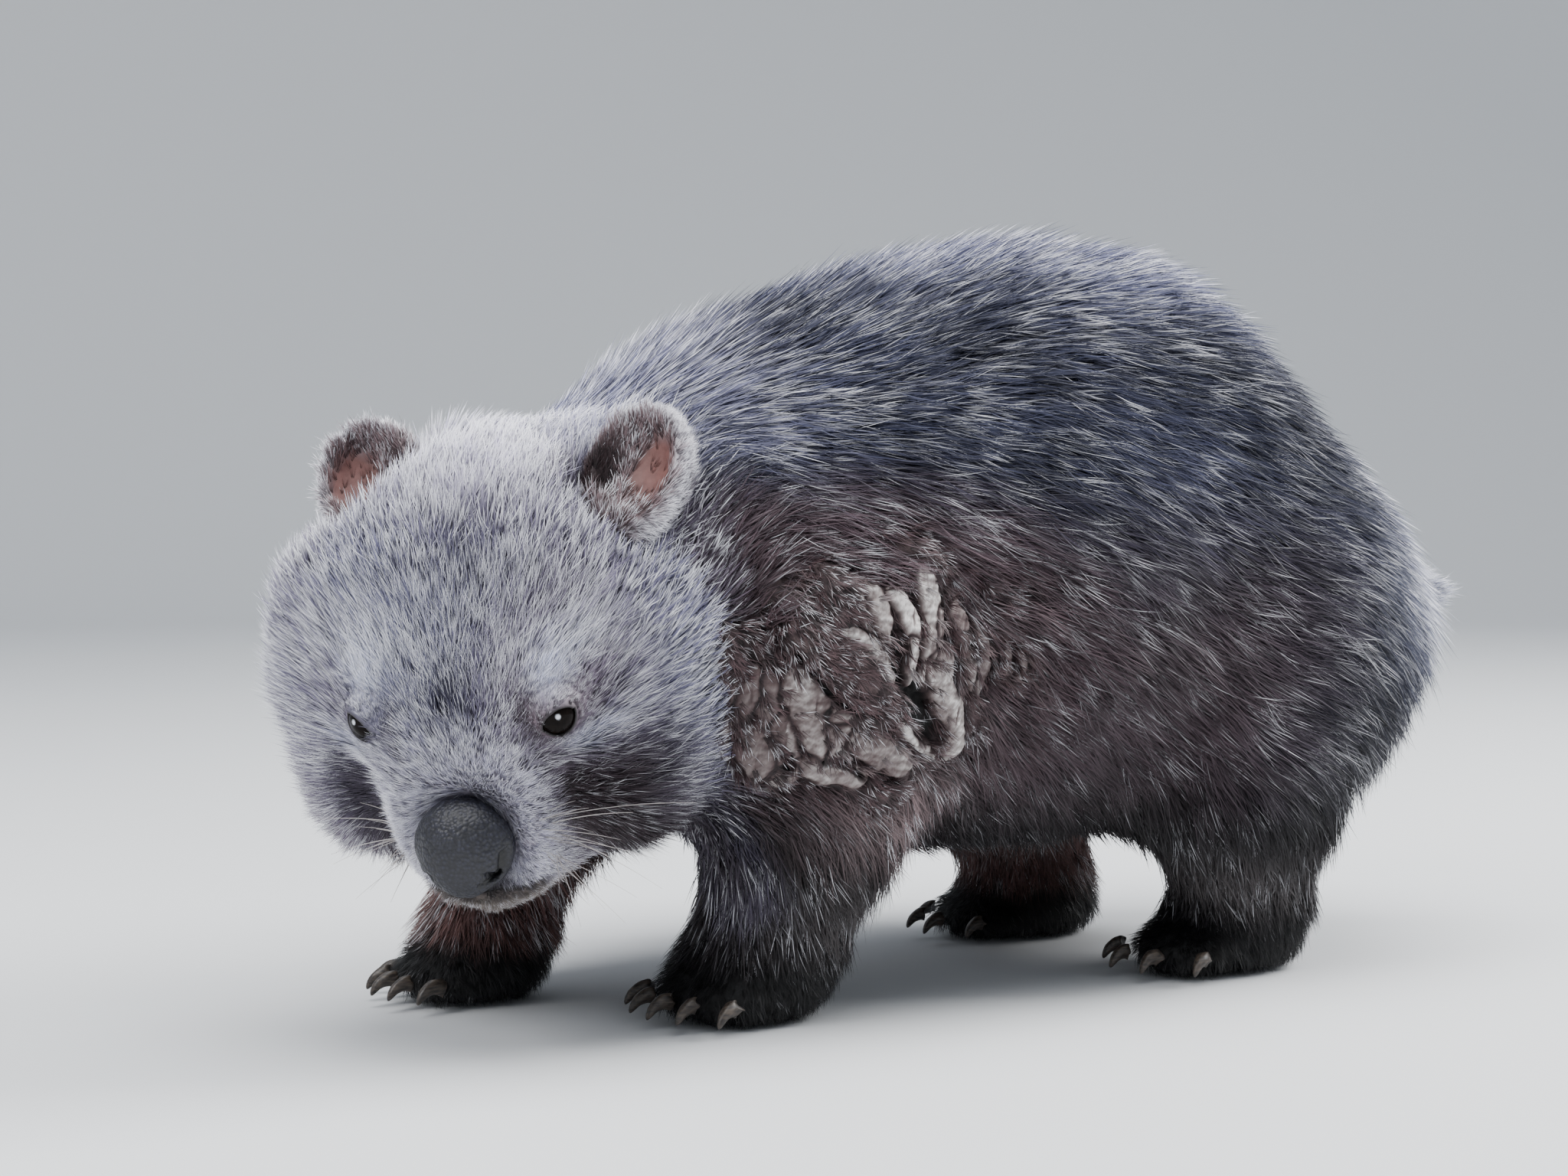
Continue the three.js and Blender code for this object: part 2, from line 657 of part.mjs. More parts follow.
// One lock of hair: its root is sunk in the body, and the rest stands clear of every surface.
function makeLock(field, at, comb, long, random) {
  const { place, out } = seatOn(field, at);
  const along = comb.clone().addScaledVector(out, -comb.dot(out)).normalize();
  const side = along.clone().cross(out).normalize();
  along.addScaledVector(side, (random() - 0.5) * 0.35).normalize();
  const length = long * (0.8 + 0.4 * random());
  const points = [place.clone().addScaledVector(out, -lockShape.sunk).addScaledVector(along, -2)];
  for (const share of [0.16, 0.5, 0.8, 1]) {
    const spot = place.clone().addScaledVector(along, length * share);
    spot.addScaledVector(out, length * lockShape.rise * Math.sin(share * 2.2));
    for (let pass = 0; pass < 3 && share > 0.3; pass++) {
      const short = lockShape.clear - field(spot);
      if (short > 0) spot.addScaledVector(slopeOf(field, spot).normalize(), short);
    }
    points.push(spot);
  }
  const half = lockShape.half * (0.8 + 0.4 * random());
  const wide = [half * 0.7, half, half * 0.85, half * 0.5, 0];
  const thick = [lockShape.thick, lockShape.thick, lockShape.thick * 0.9, lockShape.thick * 0.6, 0];
  return strand(points, wide, thick, side);
}

// The locks of one node. owns says whether a point is well inside that node, and others are the
// solids that no lock may touch.
function makeLocks(name, frame, owns, others) {
  const locks = [];
  const meets = (lock) => others.some((other) => lock.intersect(other).volume() > 0)
    || locks.some((other) => lock.intersect(other).volume() > 60);
  lockRows[name].forEach((row, n) => {
    const random = numbersFrom(name.length * 7919 + n * 104729 + 11);
    const comb = new THREE.Vector3(...row.comb).transformDirection(frame);
    for (let tries = 0, made = 0; made < row.count && tries < 300; tries++) {
      const at = new THREE.Vector3(...row.low.map((low, i) => mix(low, row.high[i], random())));
      const { place, out } = seatOn(wombatField, at.applyMatrix4(frame));
      if (Math.abs(wombatField(place)) > 1) continue;
      if (!owns(place.clone().addScaledVector(out, -lockShape.sunk))) continue;
      const lock = makeLock(wombatField, place, comb, row.long, random);
      if (lock.boundingBox().min[2] < lockShape.floor || meets(lock)) continue;
      locks.push(lock);
      made++;
    }
  });
  return locks;
}

// A ridge of crust along the flank, pointed at both ends.
function makeFold({ half, line }) {
  const steps = 5;
  const points = [];
  for (let i = 0; i <= steps; i++) {
    const share = i / steps;
    const [a, b, c] = line;
    const [y, z] = [0, 1].map((n) => (1 - share) ** 2 * a[n]
      + 2 * share * (1 - share) * (2 * b[n] - (a[n] + c[n]) / 2) + share ** 2 * c[n]);
    const seat = seatOn(wombatField, { x: 150, y, z });
    points.push(seat.place);
  }
  const swell = [0.3, 0.9, 1, 1, 0.7, 0];
  return strand(
    points,
    swell.map((n) => n * half),
    swell.map((n) => n * foldHeight),
    new THREE.Vector3(0, 1, 0),
    4,
  );
}

// A matrix with the given outward direction as its -Y and the given side direction as its X.
function facing(out, side) {
  const y = out.clone().negate();
  const x = side.clone().addScaledVector(y, -side.dot(y)).normalize();
  const z = x.clone().cross(y).normalize();
  return new THREE.Matrix4().makeBasis(x, y, z);
}

function makeEye(side) {
  const seat = seatOn(headField, { x: side * eye.x, y: eye.y, z: eye.z });
  const look = new THREE.Vector3(side * eye.sideways, -1, eye.up).normalize();
  const centre = seat.place.clone().addScaledVector(look, -eye.radius * 0.45);
  const turn = facing(look, new THREE.Vector3(1, 0, 0));
  turn.multiply(new THREE.Matrix4().makeRotationY(-side * THREE.MathUtils.degToRad(lids.slant)));
  const round = (radius, rounds) => ball(centre, { x: radius, y: radius, z: radius }, rounds, turn);
  const opening = ball(
    centre.clone().addScaledVector(look, eye.radius),
    { x: lids.wide, y: eye.radius * 1.1, z: lids.tall },
    10,
    turn,
  );
  return {
    ball: round(eye.radius, 12),
    hollow: round(eye.radius + seam, 12),
    lid: round(eye.radius + lids.thick, 10),
    opening,
  };
}

// The nose pad: broad at the top, narrow below, with a nostril on each side.
function makeNose(extra) {
  const geometry = new THREE.SphereGeometry(1, 14, 10);
  geometry.rotateX(Math.PI / 2);
  const place = geometry.attributes.position;
  for (let i = 0; i < place.count; i++) {
    const z = place.getZ(i);
    const broad = 1 + 0.2 * z - 0.12 * z * z;
    place.setXYZ(
      i,
      place.getX(i) * (nose.half + extra) * broad,
      place.getY(i) * (nose.deep + extra),
      z * (nose.tall + extra),
    );
  }
  geometry.rotateX(THREE.MathUtils.degToRad(-nose.tilt));
  geometry.translate(nose.x, nose.y, nose.z);
  return solidOf(geometry);
}

function withNostrils(shape) {
  let pad = shape;
  for (const side of [1, -1]) {
    const turn = new THREE.Matrix4().makeRotationY(side * 0.9);
    const hole = { x: nose.nostril, y: 12, z: nose.nostril * 0.5 };
    const spot = {
      x: nose.x + side * nose.half * 0.62, y: nose.y - nose.deep * 0.9, z: nose.z - nose.tall * 0.3,
    };
    pad = pad.subtract(ball(spot, hole, 12, turn));
  }
  return pad;
}

// An ear: a thick leaf with a hollow in its front, its lower part inside the head.
function makeEar(side) {
  const lean = THREE.MathUtils.degToRad(-(90 - ear.lean));
  const turn = new THREE.Matrix4().makeRotationZ(-side * THREE.MathUtils.degToRad(14));
  turn.multiply(new THREE.Matrix4().makeRotationX(lean));
  turn.multiply(new THREE.Matrix4().makeRotationY(side * THREE.MathUtils.degToRad(ear.splay)));
  const up = new THREE.Vector3(0, 0, 1).transformDirection(turn);
  const front = new THREE.Vector3(0, -1, 0).transformDirection(turn);
  const centre = new THREE.Vector3(side * ear.x + ear.shift, ear.y, ear.z).addScaledVector(up, 8);
  const leaf = (extra) => ball(
    centre,
    { x: ear.half + extra, y: ear.deep + extra, z: ear.long + extra },
    14,
    turn,
  );
  const hollow = ball(
    centre.clone().addScaledVector(front, ear.deep * 0.75).addScaledVector(up, 3),
    { x: ear.half - ear.wall, y: ear.deep, z: ear.long - ear.wall - 3 },
    12,
    turn,
  );
  return { cup: leaf(0).subtract(hollow), room: leaf(seam) };
}

function makeTail() {
  const points = [[0, 306, 192], [0, 330, 192], [1, 352, 191], [1, 372, 189], [2, 392, 186]]
    .map((p) => new THREE.Vector3(...p));
  return strand(points, [20, 20, 17, 11, 0], [17, 17, 14, 9, 0], new THREE.Vector3(1, 0, 0), 12);
}

// Claws curve down from each toe and stop just above the floor.
function makeClaws(name) {
  const { paw } = limbs[name];
  return toePlaces(paw).map((toe) => {
    const ahead = new THREE.Vector3(Math.sin(toe.heading), -Math.cos(toe.heading), 0);
    const root = new THREE.Vector3(toe.x, toe.y, 12).addScaledVector(ahead, paw.half * 0.22);
    const points = [[0, 0], [0.4, 1.5], [0.75, -2], [1, -10.5]].map(([far, rise]) => {
      const spot = root.clone().addScaledVector(ahead, far * paw.claw);
      spot.z += rise;
      return spot;
    });
    const across = new THREE.Vector3(-ahead.y, ahead.x, 0);
    return strand(points, [4.4, 4, 2.8, 0], [5, 4.4, 3, 0], across, 5);
  });
}

const inWorld = (solid) => solid.transform(headFrame.matrixWorld.toArray());
const eyes = { left: makeEye(1), right: makeEye(-1) };
const ears = { left: makeEar(1), right: makeEar(-1) };

// The head with its lids, and with room for eyes, nose pad and ears.
function finishHead(bare) {
  let head = fused(bare, [eyes.left.lid, eyes.right.lid]);
  for (const side of [eyes.left, eyes.right]) head = head.subtract(side.hollow).subtract(side.opening);
  const slot = ball(
    { x: mouth.x, y: mouth.y, z: mouth.z },
    { x: mouth.half, y: mouth.deep, z: mouth.open },
    12,
  );
  head = head.subtract(makeNose(seam)).subtract(slot);
  return head.subtract(ears.left.room).subtract(ears.right.room);
}

const solids = {};
const coats = { head: coatPale, torso: coatGrey, tail: coatPale };

solids.head = inWorld(finishHead(makeHead()));
solids.nose_pad = inWorld(withNostrils(makeNose(0)));
for (const side of ["left", "right"]) {
  solids[`ear_${side}`] = inWorld(ears[side].cup);
  solids[`eye_${side}`] = inWorld(eyes[side].ball);
}
solids.tail = makeTail();
solids.torso = makeTrunk().subtract(inWorld(ears.left.room)).subtract(inWorld(ears.right.room));
solids.torso = solids.torso.subtract(grown(solids.tail, seam));
for (const name of Object.keys(limbs)) {
  const pawName = name.replace("leg", "paw");
  solids[name] = makeLimb(name);
  solids[pawName] = makePaw(name);
  makeClaws(name).forEach((claw, i) => {
    solids[`claw_${pawName}_${i + 1}`] = largest(claw.subtract(solids[pawName]));
    solids[pawName] = solids[pawName].subtract(grown(claw, seam));
  });
}

// Which points are well inside each node that carries locks.
const inRound = (p, { x, y, z }, rx, ry, rz) => Math.hypot((p.x - x) / rx, (p.y - y) / ry, (p.z - z) / rz);
const inHead = (p) => inRound(p.clone().applyMatrix4(toHead), headCut, headCut.rx, headCut.ry, headCut.rz);
const inLeg = (p, { cut }) => inRound(p, cut, cut.sides, cut.length, cut.height);
const owners = {
  head: (p) => inHead(p) < 0.9,
  torso: (p) => inHead(p) > 1.1 && Object.values(limbs).every((limb) => inLeg(p, limb) > 1.14),
};
for (const name of Object.keys(limbs)) {
  owners[name] = (p) => inLeg(p, limbs[name]) < 0.88 && p.z > wristHeight + 12 && inHead(p) > 1.1;
}

for (const name of Object.keys(lockRows)) {
  const others = Object.keys(solids).filter((key) => key !== name).map((key) => solids[key]);
  const frame = name === "head" ? headFrame.matrixWorld : new THREE.Matrix4();
  solids[name] = fused(solids[name], makeLocks(name, frame, owners[name], others));
}

for (const [name, solid] of Object.entries(solids)) {
  let material = coats[name] ?? coatDark;
  if (name.startsWith("claw")) material = clawHorn;
  if (name.startsWith("eye")) material = eyeGloss;
  if (name.startsWith("ear")) material = coatPale;
  if (name === "nose_pad") material = noseSkin;
  addNode(name, solid, material);
}

// The origin is on the floor, below the middle of the box around the whole animal.
wombat.updateMatrixWorld(true);
const bounds = new THREE.Box3().setFromObject(wombat, true);
const middle = bounds.getCenter(new THREE.Vector3());
wombat.position.set(-middle.x, -middle.y, -bounds.min.z);

export default wombat;
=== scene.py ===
import math

import bmesh
import bpy
import numpy as np
from mathutils import Matrix, Vector
from mathutils.bvhtree import BVHTree


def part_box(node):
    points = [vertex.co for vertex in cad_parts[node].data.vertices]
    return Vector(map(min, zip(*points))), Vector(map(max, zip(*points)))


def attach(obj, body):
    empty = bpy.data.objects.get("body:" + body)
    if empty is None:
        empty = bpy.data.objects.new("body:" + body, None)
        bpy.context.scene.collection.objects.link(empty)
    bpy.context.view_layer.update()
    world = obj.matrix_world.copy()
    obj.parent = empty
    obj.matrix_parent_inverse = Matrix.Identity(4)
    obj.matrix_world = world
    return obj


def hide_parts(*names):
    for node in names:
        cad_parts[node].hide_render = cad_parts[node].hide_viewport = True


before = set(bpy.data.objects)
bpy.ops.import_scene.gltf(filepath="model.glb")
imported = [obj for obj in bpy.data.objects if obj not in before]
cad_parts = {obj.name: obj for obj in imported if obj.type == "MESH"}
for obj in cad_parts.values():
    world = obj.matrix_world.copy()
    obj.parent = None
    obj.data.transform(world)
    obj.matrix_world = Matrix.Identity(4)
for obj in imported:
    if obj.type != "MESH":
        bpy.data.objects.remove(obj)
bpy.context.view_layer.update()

# The wombat faces -Y, its left side is +X, and it stands on Z = 0. Everything is in metres.
modelShift = np.array([0.00038, -0.03579, 0.0])

headPlace = {"x": 0.063, "y": -0.225, "z": 0.158, "turn": 45.5, "nod": 36, "roll": -3}

headTurn = (
    Matrix.Rotation(math.radians(headPlace["turn"]), 3, "Z")
    @ Matrix.Rotation(math.radians(headPlace["nod"]), 3, "X")
    @ Matrix.Rotation(math.radians(headPlace["roll"]), 3, "Y")
)
headAxes = np.array(headTurn)  # its columns are the head's left, back and crown directions
headOrigin = np.array([headPlace["x"], headPlace["y"], headPlace["z"]]) + modelShift


def toHead(points):
    return (points - headOrigin) @ headAxes


def fromHead(points):
    return np.asarray(points) @ headAxes.T + headOrigin


def ramp(x, low, high):
    t = np.clip((x - low) / (high - low), 0, 1)
    return t * t * (3 - 2 * t)


def unit(v):
    return v / np.maximum(np.linalg.norm(v, axis=-1, keepdims=True), 1e-9)


# Lays each value over those before it, as far as its share goes at each point.
def layered(base, layers):
    values = np.zeros((len(layers[0][0]), len(base))) + base
    for share, value in layers:
        values += (np.array(value) - values) * share[:, None]
    return values


# Turns each direction into the skin that it lies on.
def alongSkin(heading, normals):
    return unit(heading - normals * (heading * normals).sum(1)[:, None])


# ---- nodes


# Gives a socket its value, or joins it to the socket that makes the value.
def feed(tree, socket, value):
    if isinstance(value, bpy.types.NodeSocket):
        tree.links.new(value, socket)
    else:
        socket.default_value = value


def addNode(tree, kind, inputs=None, **settings):
    node = tree.nodes.new(kind)
    for key, value in settings.items():
        setattr(node, key, value)
    for key, value in (inputs or {}).items():
        feed(tree, node.inputs[key], value)
    return node


def maths(tree, kind, a, b):
    return addNode(tree, "ShaderNodeMath", {0: a, 1: b}, operation=kind).outputs[0]


def blended(tree, kind, share, a, b):
    inputs = {0: share, 6: a, 7: b}
    return addNode(tree, "ShaderNodeMix", inputs, data_type="RGBA", blend_type=kind).outputs[2]


def painted(tree, name, output="Color"):
    return addNode(tree, "ShaderNodeAttribute", attribute_name=name).outputs[output]


def objectPlace(tree):
    return addNode(tree, "ShaderNodeTexCoord").outputs["Object"]


def noise(tree, place, scale, **inputs):
    return addNode(tree, "ShaderNodeTexNoise", {"Vector": place, "Scale": scale, **inputs}).outputs["Fac"]


def tinted(tree, share, low, high, start=0.0, end=1.0):
    node = addNode(tree, "ShaderNodeValToRGB", {0: share})
    for element, position, colour in zip(node.color_ramp.elements, (start, end), (low, high)):
        element.position = position
        element.color = (*colour, 1)
    return node.outputs[0]


def bumped(tree, shader, height, strength, distance, invert=False):
    inputs = {"Strength": strength, "Distance": distance, "Height": height}
    tree.links.new(addNode(tree, "ShaderNodeBump", inputs, invert=invert).outputs[0], shader.inputs["Normal"])


def newFinish(name, roughness, specular=0.5):
    made = bpy.data.materials.new(name)
    made.use_nodes = True
    shader = made.node_tree.nodes["Principled BSDF"]
    shader.inputs["Roughness"].default_value = roughness
    shader.inputs["Specular IOR Level"].default_value = specular
    return made, made.node_tree, shader


# ---- camera, light and floor

camera = {
    "place": (1.14278, -0.74499, 0.25000), "tip": 87.76, "heading": 60.0,
    "lens": 61.52, "sensor": 36, "nearest": 0.05,
}

lights = [
    {"name": "skyLight", "place": (0.3, -0.2, 2.3), "aim": (0, 0, 0.15), "size": 1.8, "power": 82},
    {"name": "keyLight", "place": (0.4, -2.0, 1.7), "aim": (0, 0, 0.2), "size": 1.0, "power": 38},
    {"name": "rimLight", "place": (0.6, 2.0, 1.8), "aim": (0, 0.1, 0.25), "size": 1.3, "power": 124},
]


def makeCamera():
    data = bpy.data.cameras.new("camera")
    data.lens = camera["lens"]
    data.sensor_width = camera["sensor"]
    data.clip_start = camera["nearest"]
    thing = bpy.data.objects.new("camera", data)
    thing.location = camera["place"]
    thing.rotation_euler = (math.radians(camera["tip"]), 0, math.radians(camera["heading"]))
    bpy.context.scene.collection.objects.link(thing)
    bpy.context.scene.camera = thing


def makeLight(name, place, aim, size, power):
    data = bpy.data.lights.new(name, "AREA")
    data.size = size
    data.energy = power
    thing = bpy.data.objects.new(name, data)
    thing.location = place
    thing.rotation_euler = (Vector(aim) - Vector(place)).to_track_quat("-Z", "Y").to_euler()
    bpy.context.scene.collection.objects.link(thing)


backdrop = {
    "rings": (0.8, 2.0), "flat": 3.6, "bend": 1.6, "bendSteps": 12, "wall": 3.4, "around": 96,
    "colour": (0.60, 0.61, 0.62), "roughness": 0.9, "sky": (0.80, 0.86, 0.95), "skyStrength": 0.85,
}


# A pale floor that bends up into a round wall, so that no edge shows behind the animal.
def makeFloor():
    flat, bend, steps, many = (backdrop[key] for key in ("flat", "bend", "bendSteps", "around"))
    profile = [(ring, 0) for ring in backdrop["rings"]] + [(flat, 0)]
    for n in range(1, steps + 1):
        a = math.pi / 2 * n / steps
        profile.append((flat + bend * math.sin(a), bend * (1 - math.cos(a))))
    profile.append((flat + bend, backdrop["wall"]))
    points = [(0.0, 0.0, 0.0)]
    for far, height in profile:
        for k in range(many):
            a = 2 * math.pi * k / many
            points.append((far * math.cos(a), far * math.sin(a), height))
    faces = [(0, 1 + k, 1 + (k + 1) % many) for k in range(many)]
    faces += [(a, d, c, b) for a, b, c, d in ringFaces(len(profile), many, 1)]
    floor = linked("floor", meshFrom("floor", points, faces))
    finish, _, shader = newFinish("paleFloor", backdrop["roughness"])
    shader.inputs["Base Color"].default_value = (*backdrop["colour"], 1)
    floor.data.materials.append(finish)
    world = bpy.data.worlds.new("studio")
    world.use_nodes = True
    light = world.node_tree.nodes["Background"].inputs
    light["Color"].default_value = (*backdrop["sky"], 1)
    light["Strength"].default_value = backdrop["skyStrength"]
    bpy.context.scene.world = world


# ---- meshes in and out


def linked(name, mesh):
    thing = bpy.data.objects.new(name, mesh)
    bpy.context.scene.collection.objects.link(thing)
    return thing


def shadeSmooth(mesh):
    mesh.polygons.foreach_set("use_smooth", [True] * len(mesh.polygons))


def meshFrom(name, points, faces):
    mesh = bpy.data.meshes.new(name)
    mesh.from_pydata([tuple(p) for p in points], [], [tuple(f) for f in faces])
    mesh.validate()
    shadeSmooth(mesh)
    mesh.update()
    return mesh


# Quads between closed rings of so many points, each ring after the last.
def ringFaces(rings, many, first=0):
    faces = []
    for r in range(rings - 1):
        for k in range(many):
            a, b = first + r * many + k, first + r * many + (k + 1) % many
            faces.append((a, b, b + many, a + many))
    return faces


makeCamera()
for each in lights:
    makeLight(**each)
makeFloor()
print("stage: camera, lights and floor")


def readVectors(items, name):
    flat = np.empty(len(items) * 3, np.float32)
    items.foreach_get(name, flat)
    return flat.reshape(-1, 3).astype(float)


def pointsOf(mesh):
    return readVectors(mesh.vertices, "co")


def normalsOf(mesh):
    return readVectors(mesh.vertex_normals, "vector")


def setPoints(mesh, points):
    mesh.vertices.foreach_set("co", np.asarray(points, np.float32).ravel())
    mesh.update()


# Lets a function change a mesh as an editable copy, and writes the copy back.
def edited(mesh, change):
    made = bmesh.new()
    made.from_mesh(mesh)
    change(made)
    made.to_mesh(mesh)
    made.free()
    mesh.update()
    return mesh


def relax(made, verts, rounds, factor=0.5):
    axes = {"use_axis_x": True, "use_axis_y": True, "use_axis_z": True}
    for _ in range(rounds):
        bmesh.ops.smooth_vert(made, verts=verts, factor=factor, **axes)


def smoothed(mesh, rounds, factor=0.5):
    return edited(mesh, lambda made: relax(made, made.verts, rounds, factor))


# The mesh of a thing with its modifiers applied.
def evaluatedMesh(thing):
    graph = bpy.context.evaluated_depsgraph_get()
    return bpy.data.meshes.new_from_object(thing.evaluated_get(graph))


def joinedCopy(name, nodes):
    made = bmesh.new()
    for node in nodes:
        made.from_mesh(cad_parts[node].data)
    bmesh.ops.remove_doubles(made, verts=made.verts, dist=1e-6)
    mesh = bpy.data.meshes.new(name)
    made.to_mesh(mesh)
    made.free()
    return linked(name, mesh)


def remeshed(thing, size):
    change = thing.modifiers.new("even", "REMESH")
    change.mode = "VOXEL"
    change.voxel_size = size
    mesh = evaluatedMesh(thing)
    name = thing.name
    bpy.data.objects.remove(thing)
    mesh.name = name
    return mesh


def treeOf(mesh):
    made = bmesh.new()
    made.from_mesh(mesh)
    bmesh.ops.triangulate(made, faces=made.faces)
    tree = BVHTree.FromBMesh(made)
    made.free()
    return tree


# ---- skin: the coat's outer surface, moved in by the coat's depth

skin = {
    "voxel": 0.004,
    "cell": 0.0055,
    "search": 0.030,  # how far out distances are measured
    "blur": 1.1,
    "smoothing": 3,
    "faceFrom": -0.034,
    "faceCuts": 3,
}
coatDepths = {  # how deep the coat is over the skin, each place laid over those before it
    "trunk": 0.0140, "leg": 0.0095, "paw": 0.0045, "head": 0.0085,
    "face": 0.0032, "eye": 0.0024, "crust": 0.0050,
}
zones = {  # where the head and face end, by the head's own places, and the legs and paws, by height
    "head": (0.105, 0.150), "face": (-0.070, -0.020), "leg": (0.075, 0.135), "paw": (0.026, 0.055),
}
fleshNodes = ["torso", "head", "tail"] + [
    f"{limb}_{side}" for limb in ("foreleg", "forepaw", "hindleg", "hindpaw") for side in ("left", "right")
]


eyeCentres = [sum(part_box(f"eye_{side}"), Vector()) / 2 for side in ("left", "right")]
bare = {
    "y": -0.080, "z": 0.164, "halfLong": 0.092, "halfTall": 0.064, "lean": 0.05, "outermost": (0.07, 0.10),
    "ripples": ((0.10, 130, 40), (0.09, 60, 170), (0.05, 340, -260)),  # size, then waves along and up
}


# How far into the bare crusted patch of the left flank a point is, from 0 to 1.
def crustShare(points, edge=0.35):
    y, z = points[:, 1] - modelShift[1] - bare["y"], points[:, 2] - bare["z"]
    z = z - bare["lean"] * y
    ripple = sum(size * np.sin(y * long + z * up) for size, long, up in bare["ripples"])
    out = np.sqrt((y / bare["halfLong"]) ** 2 + (z / bare["halfTall"]) ** 2) + ripple
    return (1 - ramp(out, 1 - edge, 1.0)) * ramp(points[:, 0], *bare["outermost"])


def eyeAway(points):
    return np.min([np.linalg.norm(points - np.array(c), axis=1) for c in eyeCentres], axis=0)


# How close a point is to either eye, from 0 to 1.
def eyeShare(points, inner=0.013, outer=0.026):
    return 1 - ramp(eyeAway(points), inner, outer)


# How far a point is from the head's middle, by the head's own directions.
def headReach(q):
    return np.linalg.norm(q * [1, 1, 1.05], axis=1)


# The shares of leg, paw, head and face at each point.
def zoneShares(points):
    q = toHead(points)
    onHead = 1 - ramp(headReach(q), *zones["head"])
    onFace = (1 - ramp(q[:, 1], *zones["face"])) * onHead
    return 1 - ramp(points[:, 2], *zones["leg"]), 1 - ramp(points[:, 2], *zones["paw"]), onHead, onFace


def coatDepth(points):
    trunk, *others = [[depth] for depth in coatDepths.values()]
    shares = [*zoneShares(points), eyeShare(points), crustShare(points)]
    return layered(trunk, list(zip(shares, others)))[:, 0]


# Distances from a closed mesh on a grid, below zero inside it.
def distanceGrid(mesh, cell, search):
    tree = treeOf(mesh)
    points = pointsOf(mesh)
    low = points.min(0) - 4 * cell
    counts = np.ceil((points.max(0) + 4 * cell - low) / cell).astype(int) + 1
    inside = np.zeros(counts, bool)
    down = Vector((0, 0, -1))
    top = low[2] + counts[2] * cell
    for i in range(counts[0]):
        for j in range(counts[1]):
            x, y = low[0] + i * cell, low[1] + j * cell
            z, hits = top, []
            while True:
                found = tree.ray_cast(Vector((x + 1e-5, y + 1e-5, z)), down)
                if found[0] is None:
                    break
                hits.append(found[0].z)
                z = found[0].z - 2e-5
            for a in range(0, len(hits) - 1, 2):
                first = int(math.ceil((hits[a + 1] - low[2]) / cell))
                last = int(math.floor((hits[a] - low[2]) / cell))
                inside[i, j, first:last + 1] = True
    steps = [low[k] + np.arange(counts[k]) * cell for k in range(3)]
    places = np.stack(np.meshgrid(*steps, indexing="ij"), -1)
    flat = places.reshape(-1, 3)
    away = np.full(len(flat), search)
    for n, p in enumerate(flat.tolist()):
        found = tree.find_nearest(p, search)
        if found[0] is not None:
            away[n] = found[3]
    away = away.reshape(counts)
    return np.where(inside, -away, away), places, low


# Evens the grid out, by a spread given in cells.
def blurred(values, sigma):
    span = int(math.ceil(3 * sigma))
    weights = np.exp(-0.5 * (np.arange(-span, span + 1) / sigma) ** 2)
    weights /= weights.sum()
    for axis in range(3):
        padded = np.pad(values, [(span, span) if a == axis else (0, 0) for a in range(3)], mode="edge")
        size = values.shape[axis]
        values = sum(w * np.take(padded, range(k, k + size), axis) for k, w in enumerate(weights))
    return values


# Points and quads along the surface where the grid's values pass zero.
def surfaceNet(values, low, cell):
    counts = np.array(values.shape)
    inside = values < 0
    corner = [(i, j, k) for i in (0, 1) for j in (0, 1) for k in (0, 1)]

    def shifted(grid, offset):
        return grid[tuple(slice(o, grid.shape[a] - 1 + o) for a, o in enumerate(offset))]

    total = np.zeros((*(counts - 1), 3))
    many = np.zeros(counts - 1)
    for a in corner:
        for axis in range(3):
            if a[axis]:
                continue
            b = tuple(v + (axis == n) for n, v in enumerate(a))
            va, vb = shifted(values, a), shifted(values, b)
            crossing = (va < 0) != (vb < 0)
            share = np.where(crossing, va / np.where(crossing, va - vb, 1), 0)
            place = np.zeros((*crossing.shape, 3)) + np.array(a)
            place[..., axis] += share
            total += place * crossing[..., None]
            many += crossing
    used = many > 0
    index = np.full(used.shape, -1)
    index[used] = np.arange(used.sum())
    base = np.stack(np.nonzero(used), -1)
    points = low + (base + total[used] / many[used][:, None]) * cell
    faces = []
    for axis in range(3):
        u, v = (axis + 1) % 3, (axis + 2) % 3
        near = [slice(1, -1)] * 3
        near[axis] = slice(0, counts[axis] - 1)
        beyond = list(near)
        beyond[axis] = slice(1, counts[axis])
        a, b = inside[tuple(near)], inside[tuple(beyond)]
        for here, flip in ((a & ~b, False), (~a & b, True)):
            at = np.stack(np.nonzero(here), -1) + np.array([0 if n == axis else 1 for n in range(3)])
            ring = []
            for du, dv in ((-1, -1), (0, -1), (0, 0), (-1, 0)):
                cellAt = at.copy()
                cellAt[:, u] += du
                cellAt[:, v] += dv
                ring.append(index[tuple(cellAt.T)])
            ring = np.stack(ring, -1)
            faces.append(ring[:, ::-1] if flip else ring)
    return points, np.concatenate(faces)


# Cuts the faces chosen by their middles into smaller ones, and smooths the new points.
def refined(mesh, chosen, cuts):
    def change(made):
        made.faces.ensure_lookup_table()
        edges = {edge for part in made.faces if chosen(part.calc_center_median()) for edge in part.edges}
        result = bmesh.ops.subdivide_edges(made, edges=list(edges), cuts=cuts, use_grid_fill=True)
        parts = result["geom_inner"] + result["geom_split"]
        relax(made, list({v for v in parts if isinstance(v, bmesh.types.BMVert)}), 4)
        bmesh.ops.triangulate(made, faces=[part for part in made.faces if len(part.verts) > 4])

    return edited(mesh, change)


